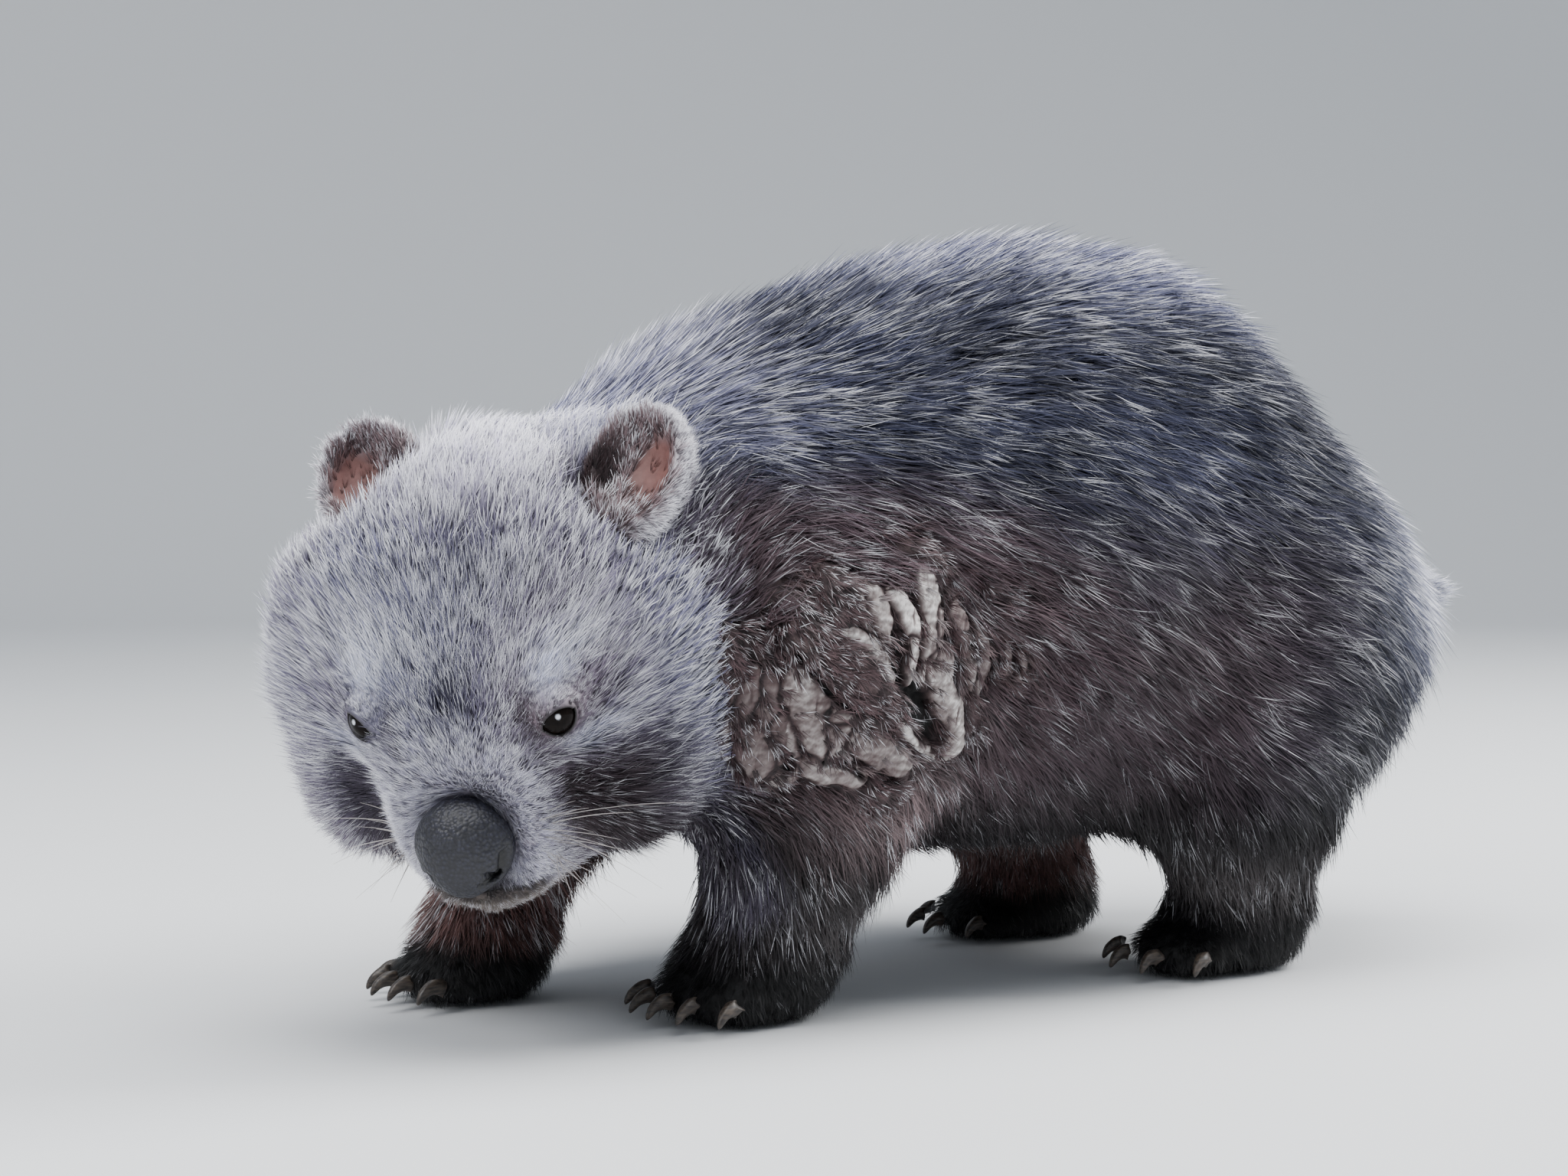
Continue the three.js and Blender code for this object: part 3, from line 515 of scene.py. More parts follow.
face = {
    "mouthX": -0.004, "mouthZ": -0.0465, "mouthRise": 0.10, "mouthHalf": 0.025, "mouthDeep": 0.0055,
    "mouthThin": 0.0016, "lip": 0.0016, "lipBelow": 0.0050, "lipAbove": 0.0045, "lipThick": 0.0028,
    "front": (-0.062, -0.048), "brow": 0.0022, "browSize": (0.016, 0.014, 0.007),
    "muzzleX": -0.006, "valleyOut": 0.0455, "valleyWide": 0.0105, "valleyDeep": 0.0078,
}


# How far out from the muzzle's middle line each point lies.
def outward(q):
    return np.abs(q[:, 0] - face["muzzleX"])


# How far out along the mouth each point lies, how high over its line, and how far at the front.
def fromMouth(q):
    across = np.abs(q[:, 0] - face["mouthX"])
    over = q[:, 2] - (face["mouthZ"] + face["mouthRise"] * across ** 1.3)
    return across, over, 1 - ramp(q[:, 1], *face["front"])


def bell(x, wide):
    return np.exp(-((x / wide) ** 2))


# The mouth line, the lips' roll, the brows and the valleys beside the muzzle, along the skin's normals.
def sculptFace(mesh):
    points, normals = pointsOf(mesh), normalsOf(mesh)
    q = toHead(points)
    across, over, front = fromMouth(q)
    inMouth = (1 - ramp(across, face["mouthHalf"] * 0.8, face["mouthHalf"] * 1.15)) * front
    move = -face["mouthDeep"] * bell(over, face["mouthThin"]) * inMouth
    move += face["lip"] * bell(over + face["lipBelow"], face["lipThick"]) * inMouth
    move += face["lip"] * 0.7 * bell(over - face["lipAbove"], face["lipThick"]) * inMouth
    for centre in eyeCentres:
        e = toHead(np.array([centre]))[0]
        away = np.linalg.norm((q - e - [0, 0.004, 0.0145]) / face["browSize"], axis=1)
        move += face["brow"] * np.exp(-away ** 2)
    valley = bell(outward(q) - face["valleyOut"], face["valleyWide"]) * ramp(-q[:, 1], 0.026, 0.042)
    valley = valley * (1 - ramp(q[:, 2], -0.004, 0.014)) * ramp(q[:, 2], -0.075, -0.055)
    move -= face["valleyDeep"] * valley
    setPoints(mesh, points + normals * move[:, None])
    return mesh


toe = {"radius": 0.0122, "rootIn": 0.0030, "length": 0.022, "balls": 5, "offFloor": 0.001}
clawNodes = [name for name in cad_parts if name.startswith("claw_")]


# Rounded toes from inside each paw to the claws' roots, so that no claw stands off its foot.
def addToes(made):
    for name in clawNodes:
        points = pointsOf(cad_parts[name].data)
        middle = np.array(sum(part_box("_".join(name.split("_")[1:3])), Vector()) / 2)
        away = np.linalg.norm((points - middle)[:, :2], axis=1)
        root = points[away <= np.quantile(away, 0.25)].mean(0)
        inward = unit(middle - root)
        for t in np.linspace(0, 1, toe["balls"]):
            centre = root + inward * (toe["rootIn"] + t * toe["length"])
            centre[2] = max(centre[2], toe["radius"] + toe["offFloor"])
            place = Matrix.Translation(centre)
            bmesh.ops.create_icosphere(made, subdivisions=2, radius=toe["radius"], matrix=place)


def makeSkin():
    whole = joinedCopy("solid", fleshNodes + ["eye_left", "eye_right"])
    edited(whole.data, addToes)
    solid = remeshed(whole, skin["voxel"])
    values, places, low = distanceGrid(solid, skin["cell"], skin["search"])
    bpy.data.meshes.remove(solid)
    values = blurred(values, skin["blur"])
    values = values + coatDepth(places.reshape(-1, 3)).reshape(values.shape)
    points, faces = surfaceNet(values, low, skin["cell"])

    def change(made):
        relax(made, made.verts, skin["smoothing"])
        bmesh.ops.recalc_face_normals(made, faces=made.faces)

    mesh = edited(meshFrom("skin", points, faces), change)
    refined(mesh, lambda c: toHead(np.array([c]))[0][1] < skin["faceFrom"], skin["faceCuts"])
    sculptFace(mesh)
    return linked("skin", mesh)


skinPiece = makeSkin()
skinTree = treeOf(skinPiece.data)
print("skin:", len(skinPiece.data.polygons), "faces")


# ---- how the coat lies, and its markings

# A soft random wave over space, about -1 to 1 and this size across.
def wavy(points, size, seed, layers=6):
    draw = np.random.default_rng(seed)
    total = np.zeros(len(points))
    for _ in range(layers):
        heading = unit(draw.normal(size=3)) * 2 * math.pi / (size * draw.uniform(0.6, 1.7))
        total += np.sin(points @ heading + draw.uniform(0, 6.28))
    return total / math.sqrt(layers * 2)


lie = {
    "noseTip": (-0.004, -0.082, -0.010), "flankFall": 0.62, "rumpFall": 1.3, "wander": 0.16,
    "leg": (0, 0.22, -1), "legZone": (0.07, 0.15), "headBack": (0, 0.35, 0.1), "headWander": 0.10,
}


# Three soft waves, one for each direction.
def threeWaves(points, sizes, seed):
    return np.stack([wavy(points, size, seed + n) for n, size in enumerate(sizes)], -1)


def coatLie(points, normals):
    q = toHead(points)
    onHead = 1 - ramp(headReach(q), *zones["head"])
    trunk = np.zeros_like(points)
    trunk[:, 1] = 1
    trunk[:, 2] = -lie["flankFall"] * np.abs(normals[:, 0]) - lie["rumpFall"] * np.clip(normals[:, 1], 0, 1)
    trunk += lie["wander"] * threeWaves(points, (0.16, 0.16, 0.13), 1)
    onLeg = 1 - ramp(points[:, 2], *lie["legZone"])
    flow = trunk + (np.array(lie["leg"]) - trunk) * onLeg[:, None]
    away = unit(q - lie["noseTip"]) + lie["headBack"]
    away += lie["headWander"] * threeWaves(points, (0.06, 0.06, 0.06), 4)
    head = away @ headAxes.T
    flow = unit(flow) + (unit(head) - unit(flow)) * onHead[:, None]
    return alongSkin(flow, normals)


hairSizes = {  # reach, rise, width and share of the tufts
    "trunk": [0.026, 0.0125, 0.0034, 1.0],
    "leg": [0.022, 0.0100, 0.0034, 1.0],
    "paw": [0.009, 0.0042, 0.0024, 1.3],
    "head": [0.0180, 0.0090, 0.0027, 1.6],
    "face": [0.0098, 0.0044, 0.0021, 2.4],
    "muzzle": [0.0046, 0.0018, 0.0014, 4.0],
    "eye": [0.0050, 0.0016, 0.0013, 3.2],
    "lid": [0.0042, 0.0012, 0.0012, 3.4],
    "ear": [0.0105, 0.0034, 0.0019, 2.2],
    "earHollow": [0.0050, 0.0007, 0.0010, 0.45],
    "earNotch": [0.0080, 0.0022, 0.0016, 2.4],
    "earRim": [0.0058, 0.0026, 0.0013, 4.6],
    "crust": [0.0098, 0.0028, 0.0021, 1.25],
    "tail": [0.0170, 0.0075, 0.0030, 2.4],
}
coatEdges = {
    "noseGap": (0.0001, 0.0008), "eyeGap": (0.0116, 0.0126), "mouthGap": (0.0018, 0.0034),
    "crustGap": (0.15, 0.85), "crustShorter": 0.55,
}


def coatSizes(points):
    q = toHead(points)
    onLeg, onPaw, onHead, onFace = zoneShares(points)
    onMuzzle = (1 - ramp(q[:, 1], -0.074, -0.054)) * onHead
    shares = (onLeg, onPaw, onHead, onFace, onMuzzle, eyeShare(points, 0.012, 0.024))
    names = ("leg", "paw", "head", "face", "muzzle", "eye")
    sizes = layered(hairSizes["trunk"], [(share, hairSizes[name]) for share, name in zip(shares, names)])
    sizes[:, :2] *= (1 + 0.14 * wavy(points, 0.05, 21))[:, None]
    inCrust = crustShare(points)
    sizes[:, :2] *= (1 - coatEdges["crustShorter"] * inCrust)[:, None]
    sizes[:, 3] *= (1 - ramp(inCrust, *coatEdges["crustGap"])) * ramp(offNose(points), *coatEdges["noseGap"])
    sizes[:, 3] *= ramp(eyeAway(points), *coatEdges["eyeGap"]) * (1 - mouthShare(points))
    return sizes


# How close a point is to the mouth's line, from 0 to 1.
def mouthShare(points):
    across, over, front = fromMouth(toHead(points))
    return (1 - ramp(np.abs(over), *coatEdges["mouthGap"])) * (1 - ramp(across, 0.022, 0.028)) * front


noseTree, headTree, torsoTree = (treeOf(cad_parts[name].data) for name in ("nose_pad", "head", "torso"))


# How far each point of the face is from the nose pad.
def offNose(points):
    away = np.full(len(points), 0.05)
    q = toHead(points)
    for n in np.nonzero(q[:, 1] < -0.03)[0]:
        away[n] = noseTree.find_nearest(points[n].tolist())[3]
    return away


# A colour given as three numbers up to 255, in the linear numbers that shaders take.
def linear(*rgb):
    shares = [c / 255 for c in rgb]
    return np.array([c / 12.92 if c <= 0.04045 else ((c + 0.055) / 1.055) ** 2.4 for c in shares])


tones = {
    "backDark": linear(32, 35, 54),
    "backPaleAndSkyLit": linear(104, 107, 136),
    "nape": linear(164, 165, 196),
    "shoulder": linear(80, 64, 69),
    "flank": linear(70, 58, 63),
    "elbow": linear(140, 120, 120),
    "belly": linear(15, 12, 15),
    "rump": linear(150, 154, 176),
    "thigh": linear(30, 28, 37),
    "head": linear(106, 105, 130),
    "headBrown": linear(106, 90, 96),
    "crown": linear(186, 182, 202),
    "jowlShade": linear(44, 34, 36),
    "streak": linear(44, 42, 58),
    "corner": linear(62, 50, 56),
    "brow": linear(182, 186, 206),
    "muzzle": linear(168, 166, 182),
    "lip": linear(104, 95, 88),
    "mouthShade": linear(18, 13, 14),
    "notch": linear(40, 30, 34),
    "leg": linear(19, 15, 18),
    "farLegReddishAndLit": linear(104, 76, 72),
    "shag": linear(84, 78, 78),
    "paw": linear(9, 8, 10),
    "crust": linear(84, 66, 66),
}


# How far each point is from a line of straight pieces.
def offLine(points, line):
    away = np.full(len(points), 1e9)
    for a, b in zip(line[:-1], line[1:]):
        a, b = np.array(a, float), np.array(b, float)
        t = np.clip((points - a) @ (b - a) / ((b - a) @ (b - a)), 0, 1)
        away = np.minimum(away, np.linalg.norm(points - a - t[:, None] * (b - a), axis=1))
    return away


# How far each point belongs to the head rather than to the neck and shoulders behind it.
def headShare(points):
    q = toHead(points)
    reach = headReach(q)
    share = np.zeros(len(points))
    for n in np.nonzero(reach < 0.165)[0]:
        p = points[n].tolist()
        share[n] = torsoTree.find_nearest(p)[3] - headTree.find_nearest(p)[3]
    return ramp(share, -0.003, 0.008) * (1 - ramp(reach, 0.135, 0.160))


# The coat's colour at each point, with painted light on the top of the back, nape, crown, rump and far legs
# and painted shade under and beside the head, by the eyes, under the ears and in the mouth, and the share of
# its hairs with white tips.
def markings(points):
    q = toHead(points)
    body = points - modelShift
    cloud = wavy(points, 0.09, 31)
    fine = wavy(points, 0.03, 32)
    colour = np.zeros((len(points), 3)) + tones["backDark"]
    frost = np.full(len(points), 0.26)

    def paint(share, tone, tip):
        nonlocal colour, frost
        share = np.clip(share, 0, 1)  # tip is the share of white tips
        colour = colour + (tones[tone] - colour) * share[:, None]
        frost = frost + (tip - frost) * share

    # The top of the back is painted paler: partly its paler coat, partly painted light where the sky light
    # falls on it.
    paint(ramp(body[:, 2], 0.30, 0.36) * 0.85 + 0.15 * cloud, "backPaleAndSkyLit", 0.55)
    # The nape is painted pale: partly its pale coat, partly painted rim light on the top of the neck.
    paint((1 - ramp(body[:, 1], -0.20, -0.08)) * ramp(body[:, 2], 0.22, 0.31), "nape", 0.85)
    paint((1 - ramp(body[:, 2], 0.17, 0.27)) * (1 - ramp(body[:, 1], 0.10, 0.22)), "flank", 0.2)
    around = np.sqrt(((body[:, 1] + 0.080) / 0.130) ** 2 + ((body[:, 2] - 0.175) / 0.085) ** 2)
    paint((1 - ramp(around, 0.7, 1.08)) * 0.9, "shoulder", 0.24)
    # The rump is painted pale: partly its pale coat, partly painted light on its top and rear.
    paint(ramp(body[:, 1], 0.18, 0.30) * ramp(body[:, 2], 0.13, 0.22), "rump", 0.84)
    paint(ramp(body[:, 1], 0.12, 0.20) * (1 - ramp(body[:, 2], 0.12, 0.21)) * 0.9, "thigh", 0.25)
    paint((1 - ramp(body[:, 2], 0.085, 0.14)) * 0.95, "belly", 0.10)
    spot = ((body[:, 1] + 0.066) / 0.038) ** 2 + ((body[:, 2] - 0.106) / 0.026) ** 2
    paint(0.75 * np.exp(-spot) * ramp(body[:, 0], 0.02, 0.07), "elbow", 0.3)
    onLeg = 1 - ramp(body[:, 2], 0.07, 0.115)
    paint(onLeg, "leg", 0.16)
    paint(0.5 * np.exp(-(((body[:, 2] - 0.062) / 0.016) ** 2)), "shag", 0.35)
    # The far legs are painted a lighter reddish brown than the near ones: partly their reddish coat, partly
    # painted light on the side that is in shade.
    paint(0.9 * onLeg * (1 - ramp(body[:, 0], -0.030, 0.020)), "farLegReddishAndLit", 0.30)
    paint(1 - ramp(body[:, 2], 0.026, 0.048), "paw", 0.04)
    onHead = headShare(points)
    out = outward(q)
    left = q[:, 0] > face["muzzleX"]
    paint(onHead, "head", 0.60)
    paint(onHead * np.clip(0.30 + 0.4 * cloud, 0, 1), "headBrown", 0.54)
    # The top of the head is painted paler: partly its pale coat, partly painted light from above.
    paint(onHead * ramp(q[:, 2] + 0.35 * q[:, 1], 0.074, 0.106) * 0.9, "crown", 0.9)
    # Painted shade: the underside of the head is painted dark.
    underHeadShade = (1 - ramp(q[:, 2], -0.064, -0.030)) * ramp(q[:, 1], -0.050, -0.015)
    paint(onHead * underHeadShade * 0.85, "jowlShade", 0.3)
    # Painted shade in the valley beside the muzzle, reaching further out on the left side, which is in shade.
    besideMuzzleShade = ramp(out, 0.031, 0.041) * (1 - ramp(q[:, 2], -0.010, 0.014)) * ramp(-q[:, 1], 0.010, 0.034)
    shadeFading = np.where(left, 0.93 - 0.45 * ramp(out, 0.060, 0.084), 0.66 * (1 - ramp(out, 0.048, 0.062)))
    paint(onHead * besideMuzzleShade * shadeFading, "jowlShade", 0.18)

    spotDeep = 0.035

    def spots(x, y, z, wide, tall, tone, tip, share):
        away = ((q[:, 0] - x) / wide) ** 2 + ((q[:, 2] - z) / tall) ** 2 + ((q[:, 1] - y) / spotDeep) ** 2
        paint(share * np.exp(-away), tone, tip)

    spots(0.000, -0.012, 0.071, 0.013, 0.016, "streak", 0.35, 0.55)
    spots(-0.004, -0.050, 0.031, 0.009, 0.012, "streak", 0.25, 0.80)
    spots(-0.009, -0.057, 0.018, 0.006, 0.010, "streak", 0.25, 0.50)
    for centre in eyeCentres:
        e = toHead(np.array([centre]))[0]
        away = 1 if e[0] > 0 else -1
        spots(e[0] - away * 0.002, -0.040, e[2] + 0.0155, 0.012, 0.0060, "brow", 1.0, 0.95)
        spots(e[0] + away * 0.009, -0.045, e[2] - 0.0140, 0.010, 0.0050, "brow", 0.95, 0.85)
        # Painted shade: dark spots at the inner corner of each eye and down the side of the muzzle below it.
        spots(e[0] - away * 0.0125, -0.053, e[2] - 0.006, 0.0040, 0.0100, "corner", 0.1, 0.85)
        spots(e[0] - away * 0.0145, -0.060, e[2] - 0.022, 0.0040, 0.0120, "corner", 0.2, 0.65)
    paint((1 - ramp(q[:, 1], -0.066, -0.052)) * (1 - ramp(out, 0.030, 0.040)) * onHead, "muzzle", 0.8)
    onLip = (1 - ramp(q[:, 2], -0.052, -0.040)) * (1 - ramp(q[:, 1], -0.056, -0.042))
    paint(onLip * (1 - ramp(out, 0.026, 0.036)) * onHead, "lip", 0.4)
    # Painted shade: the dark gap under the nose.
    spots(face["mouthX"], -0.072, face["mouthZ"] + 0.0035, 0.020, 0.0056, "mouthShade", 0.0, 1.0)
    # Painted shadow: the dark bands under the ears.
    for side in (1, -1):  # the dark bands under the ears, in mm
        mirrored = np.c_[side * (q[:, 0] + 0.004) - 0.004, q[:, 1], q[:, 2]] * 1000
        away = offLine(mirrored, [(32, 32, 81), (39, 46, 60), (56, 42, 47)])
        paint(0.80 * np.exp(-((away / 9.5) ** 2)), "notch", 0.15)
    # Painted shade along the mouth's line.
    paint(mouthShare(points), "mouthShade", 0.0)
    paint(crustShare(points, 0.45), "crust", 0.25)
    streaky = wavy(points * [1, 0.26, 1], 0.011, 33, 8) * (1 - onHead)
    shade = 1 + 0.10 * cloud + 0.07 * fine + 0.13 * streaky
    return colour * shade[:, None], np.clip(frost + 0.07 * fine + 0.09 * streaky, 0, 1)


def setAttribute(mesh, name, kind, values, domain="POINT"):
    made = mesh.attributes.new(name, kind, domain)
    field = {"FLOAT": "value", "INT": "value", "FLOAT_VECTOR": "vector", "FLOAT_COLOR": "color"}[kind]
    number = np.int32 if kind == "INT" else np.float32
    made.data.foreach_set(field, np.ascontiguousarray(values, number).ravel())


def setColour(mesh, name, colour):
    setAttribute(mesh, name, "FLOAT_COLOR", np.c_[colour, np.ones(len(colour))])


# Stores on a mesh what its tufts need: their lie, sizes, share, colour and white tips.
def dress(mesh, heading, sizes, colour, frost):
    setAttribute(mesh, "lie", "FLOAT_VECTOR", heading)
    setAttribute(mesh, "sizes", "FLOAT_VECTOR", sizes[:, [2, 0, 1]])
    setAttribute(mesh, "coverage", "FLOAT", sizes[:, 3])
    setColour(mesh, "coatColour", colour)
    setAttribute(mesh, "frost", "FLOAT", frost)


cuts = {"shoulder": -0.03, "rump": 0.12, "legTop": 0.075, "legMiddle": 0, "head": 0.125, "face": -0.012}


# Dresses the skin, and numbers its faces by the piece of coat they carry, in the order of the coats.
def paintSkin():
    mesh = skinPiece.data
    points, normals = pointsOf(mesh), normalsOf(mesh)
    colour, frost = markings(points)
    dress(mesh, coatLie(points, normals), coatSizes(points), colour, frost)
    middle = readVectors(mesh.polygons, "center")
    q = toHead(middle)
    section = np.where(middle[:, 1] < cuts["shoulder"], 0, np.where(middle[:, 1] < cuts["rump"], 2, 4))
    section += middle[:, 0] > 0
    section = np.where(middle[:, 2] < cuts["legTop"], 6 + (middle[:, 1] > cuts["legMiddle"]), section)
    headSection = np.where(q[:, 1] < cuts["face"], 10, 8) + (q[:, 0] > 0)
    section = np.where(headReach(q) < cuts["head"], headSection, section)
    setAttribute(mesh, "section", "INT", section, "FACE")


def unwrap(thing, name):
    thing.data.uv_layers.new(name=name)
    bpy.context.view_layer.objects.active = thing
    for other in bpy.context.selected_objects:
        other.select_set(False)
    thing.select_set(True)
    bpy.ops.object.mode_set(mode="EDIT")
    bpy.ops.mesh.select_all(action="SELECT")
    bpy.ops.uv.smart_project(angle_limit=math.radians(66), island_margin=0.002)
    bpy.ops.object.mode_set(mode="OBJECT")
    thing.select_set(False)


def finished(piece, slot, *nodes, material=None):
    if material is not None:
        piece.data.materials.clear()
        piece.data.materials.append(material)
    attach(piece, "root")
    if nodes:
        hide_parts(*nodes)
    return piece


# A small piece whose hair grows all over it as one section.
def furred(mesh, name, slot, material, dressing, *nodes):
    dress(mesh, *dressing)
    setAttribute(mesh, "section", "INT", np.zeros(len(mesh.polygons)), "FACE")
    piece = linked(name, mesh)
    unwrap(piece, "rootUv")
    return finished(piece, slot, *nodes, material=material)


paintSkin()
unwrap(skinPiece, "rootUv")
print("skin: lie, sizes, markings and unwrap")


# ---- tufts of hair

tuft = {
    "shapes": 6,
    "perSquareMetre": 78000,
    "lengthVariety": 0.28,
    "straying": 0.34,
    "patch": 0.003,
    "seed": 11,
    "rootWide": 0.62,
    "rootDeep": 0.10,
    "curl": 0.25,
    "reach": (0.70, 1.08),
    "lift": (0.60, 1.08),
    "firstLonger": 1.22,
    "quickShare": 0.35,
}
kinds = {  # hairs in a tuft, its bends, how far its hairs spread, and tufts beside the plain number
    "long": {"hairs": 9, "steps": [0, 0.42, 1], "spread": 0.75, "thick": (0.062, 0.112), "more": 1.0},
    "short": {"hairs": 8, "steps": [0, 0.5, 1], "spread": 0.95, "thick": (0.095, 0.155), "more": 1.15},
    "face": {"hairs": 8, "steps": [0, 1], "spread": 1.0, "thick": (0.120, 0.190), "more": 1.8},
}


# One tuft, a unit long and high, of tapered hairs that bend over along Y.
def tuftShape(number, kind, seed):
    draw = np.random.default_rng(seed + number)
    own = kinds[kind]
    hairs, steps = own["hairs"], own["steps"]
    last, perHair = len(steps) - 1, 2 * len(steps) - 1
    points, faces, along, hairDraw = [], [], [], []
    for h in range(hairs):
        start = [draw.uniform(-tuft[key], tuft[key]) for key in ("rootWide", "rootDeep")]
        drift = draw.normal(0, own["spread"]) - 0.35 * start[0]
        curl = draw.normal(0, tuft["curl"])
        longer = tuft["firstLonger"] if h == 0 else 1.0
        reach = draw.uniform(*tuft["reach"]) * longer
        lift = draw.uniform(*tuft["lift"]) * longer
        roll = draw.uniform(-1.0, 1.0)
        half = draw.uniform(*own["thick"])
        hairDraw += [draw.uniform() * (0.5 if h == 0 else 1)] * perHair
        for n, s in enumerate(steps):
            x = start[0] + drift * s ** 1.3 + curl * math.sin(s * 3)
            middle = np.array([x, start[1] + reach * s, lift * (1 - (1 - s) ** 1.9) - 0.12 * (1 - s)])
            wide = half * (0.80 + 0.5 * s) * (1 - s ** 2.4)
            across = np.array([math.cos(roll), 0, math.sin(roll) * 0.3]) * wide
            points += [middle - across, middle + across] if n < last else [middle]
            along += [s] * (2 if n < last else 1)
        for n in range(last):
            a = h * perHair + 2 * n
            faces.append((a, a + 1, a + 3, a + 2) if n < last - 1 else (a, a + 1, a + 2))
    mesh = bpy.data.meshes.new(f"{kind}Tuft{number}")
    mesh.from_pydata(points, [], faces)
    layer = mesh.uv_layers.new(name="tuftUv")
    for loop in mesh.loops:
        hair, corner = divmod(loop.vertex_index, perHair)
        side = 0.5 if corner == perHair - 1 else corner % 2
        layer.data[loop.index].uv = ((hair + 0.1 + 0.8 * side) / hairs, along[loop.vertex_index])
    setAttribute(mesh, "along", "FLOAT", along)
    setAttribute(mesh, "hairDraw", "FLOAT", hairDraw)
    shadeSmooth(mesh)
    return bpy.data.objects.new(f"{kind}Tuft{number}", mesh)


def tuftShapes(kind, seed):
    group = bpy.data.collections.new(f"{kind}Tufts")
    for number in range(tuft["shapes"]):
        group.objects.link(tuftShape(number, kind, seed))
    return group


def scatterTree():
    tree = bpy.data.node_groups.new("coatScatter", "GeometryNodeTree")
    for name, kind in (
        ("Skin", "Geometry"), ("Tuft Shapes", "Collection"), ("Tufts Per Square Metre", "Float"),
        ("Section", "Int"), ("Length Variety", "Float"), ("Straying", "Float"),
        ("Patch", "Float"), ("Seed", "Int"), ("Finish", "Material"),
    ):
        tree.interface.new_socket(name=name, in_out="INPUT", socket_type="NodeSocket" + kind)
    tree.interface.new_socket(name="Coat", in_out="OUTPUT", socket_type="NodeSocketGeometry")
    given = tree.nodes.new("NodeGroupInput").outputs

    def named(name, kind):
        node = addNode(tree, "GeometryNodeInputNamedAttribute", {"Name": name}, data_type=kind)
        return node.outputs["Attribute"]

    def vectors(kind, a, b):
        return addNode(tree, "ShaderNodeVectorMath", {0: a, 1: b}, operation=kind).outputs[0]

    def scaled(vector, scale):
        inputs = {0: vector, "Scale": scale}
        return addNode(tree, "ShaderNodeVectorMath", inputs, operation="SCALE").outputs[0]

    def stored(geometry, name, value, kind, domain):
        inputs = {"Geometry": geometry, "Name": name, "Value": value}
        node = addNode(tree, "GeometryNodeStoreNamedAttribute", inputs, data_type=kind, domain=domain)
        return node.outputs[0]

    def drawn(kind, low, high, seed):
        node = addNode(tree, "FunctionNodeRandomValue", {"Seed": seed}, data_type=kind)
        pair = [socket for socket in node.inputs if socket.enabled and socket.name in ("Min", "Max")]
        for socket, value in zip(pair, (low, high)):
            feed(tree, socket, value)
        return [socket for socket in node.outputs if socket.enabled][0]

    inSection = {2: named("section", "INT"), 3: given["Section"]}
    chosen = addNode(tree, "FunctionNodeCompare", inSection, data_type="INT", operation="EQUAL")
    scatter = addNode(tree, "GeometryNodeDistributePointsOnFaces", {
        "Mesh": given["Skin"],
        "Selection": chosen.outputs[0],
        "Density": maths(tree, "MULTIPLY", given["Tufts Per Square Metre"], named("coverage", "FLOAT")),
        "Seed": given["Seed"],
    }, distribute_method="RANDOM").outputs

    stray = scaled(drawn("FLOAT_VECTOR", (-1, -1, -1), (1, 1, 1), 3), given["Straying"])
    heading = {0: scatter["Normal"], 1: vectors("ADD", named("lie", "FLOAT_VECTOR"), stray)}
    aim = addNode(tree, "FunctionNodeAxesToRotation", heading, primary_axis="Z", secondary_axis="Y")
    shortest = maths(tree, "SUBTRACT", 1, given["Length Variety"])
    longest = maths(tree, "ADD", 1, given["Length Variety"])
    shapes = {"Separate Children": True, "Reset Children": True, "Collection": given["Tuft Shapes"]}
    place = addNode(tree, "GeometryNodeInstanceOnPoints", {
        "Points": scatter["Points"],
        "Instance": addNode(tree, "GeometryNodeCollectionInfo", shapes).outputs[0],
        "Pick Instance": True,
        "Instance Index": drawn("INT", 0, tuft["shapes"] - 1, 7),
        "Rotation": aim.outputs[0],
        "Scale": scaled(named("sizes", "FLOAT_VECTOR"), drawn("FLOAT", shortest, longest, 5)),
    }).outputs[0]
    place = stored(place, "tuftDraw", drawn("FLOAT", 0.0, 1.0, 9), "FLOAT", "INSTANCE")
    real = addNode(tree, "GeometryNodeRealizeInstances", {"Geometry": place}).outputs[0]

    # Each tuft's patch lies at its root's place on the skin's unwrap.
    inPatch = scaled(vectors("SUBTRACT", named("tuftUv", "FLOAT_VECTOR"), (0.5, 0.5, 0)), given["Patch"])
    patch = vectors("ADD", named("rootUv", "FLOAT_VECTOR"), inPatch)
    baked = stored(real, "OFBake", patch, "FLOAT2", "CORNER")
    finish = addNode(tree, "GeometryNodeSetMaterial", {"Geometry": baked, "Material": given["Finish"]})
    addNode(tree, "NodeGroupOutput", {0: finish.outputs[0]})
    return tree


def grownBy(tree, thing, name, values):
    change = thing.modifiers.new("coat", "NODES")
    change.node_group = tree
    names = {socket.name: socket.identifier for socket in tree.interface.items_tree}
    for key, value in values.items():
        change[names[key]] = value
    mesh = evaluatedMesh(thing)
    thing.modifiers.remove(change)
    mesh.name = name
    return mesh


hair = {
    "roughness": 0.55, "specular": 0.35,
    "rootShade": 0.20, "frostShade": 0.20, "shadeEnd": 0.62, "tipShade": 1.08,
    "dark": (0.30, 0.28, 0.30, 1), "light": (1.52, 1.52, 1.54, 1), "byTuft": 0.70, "byHair": 0.30,
    "tipStart": 0.52, "tipEnd": 0.80, "tipColour": (0.95, 0.95, 1.0, 1), "tipStrength": 0.85,
    "tipByTuft": 0.55, "tipByHair": 0.45, "tipSoft": (-0.08, 0.18),
}
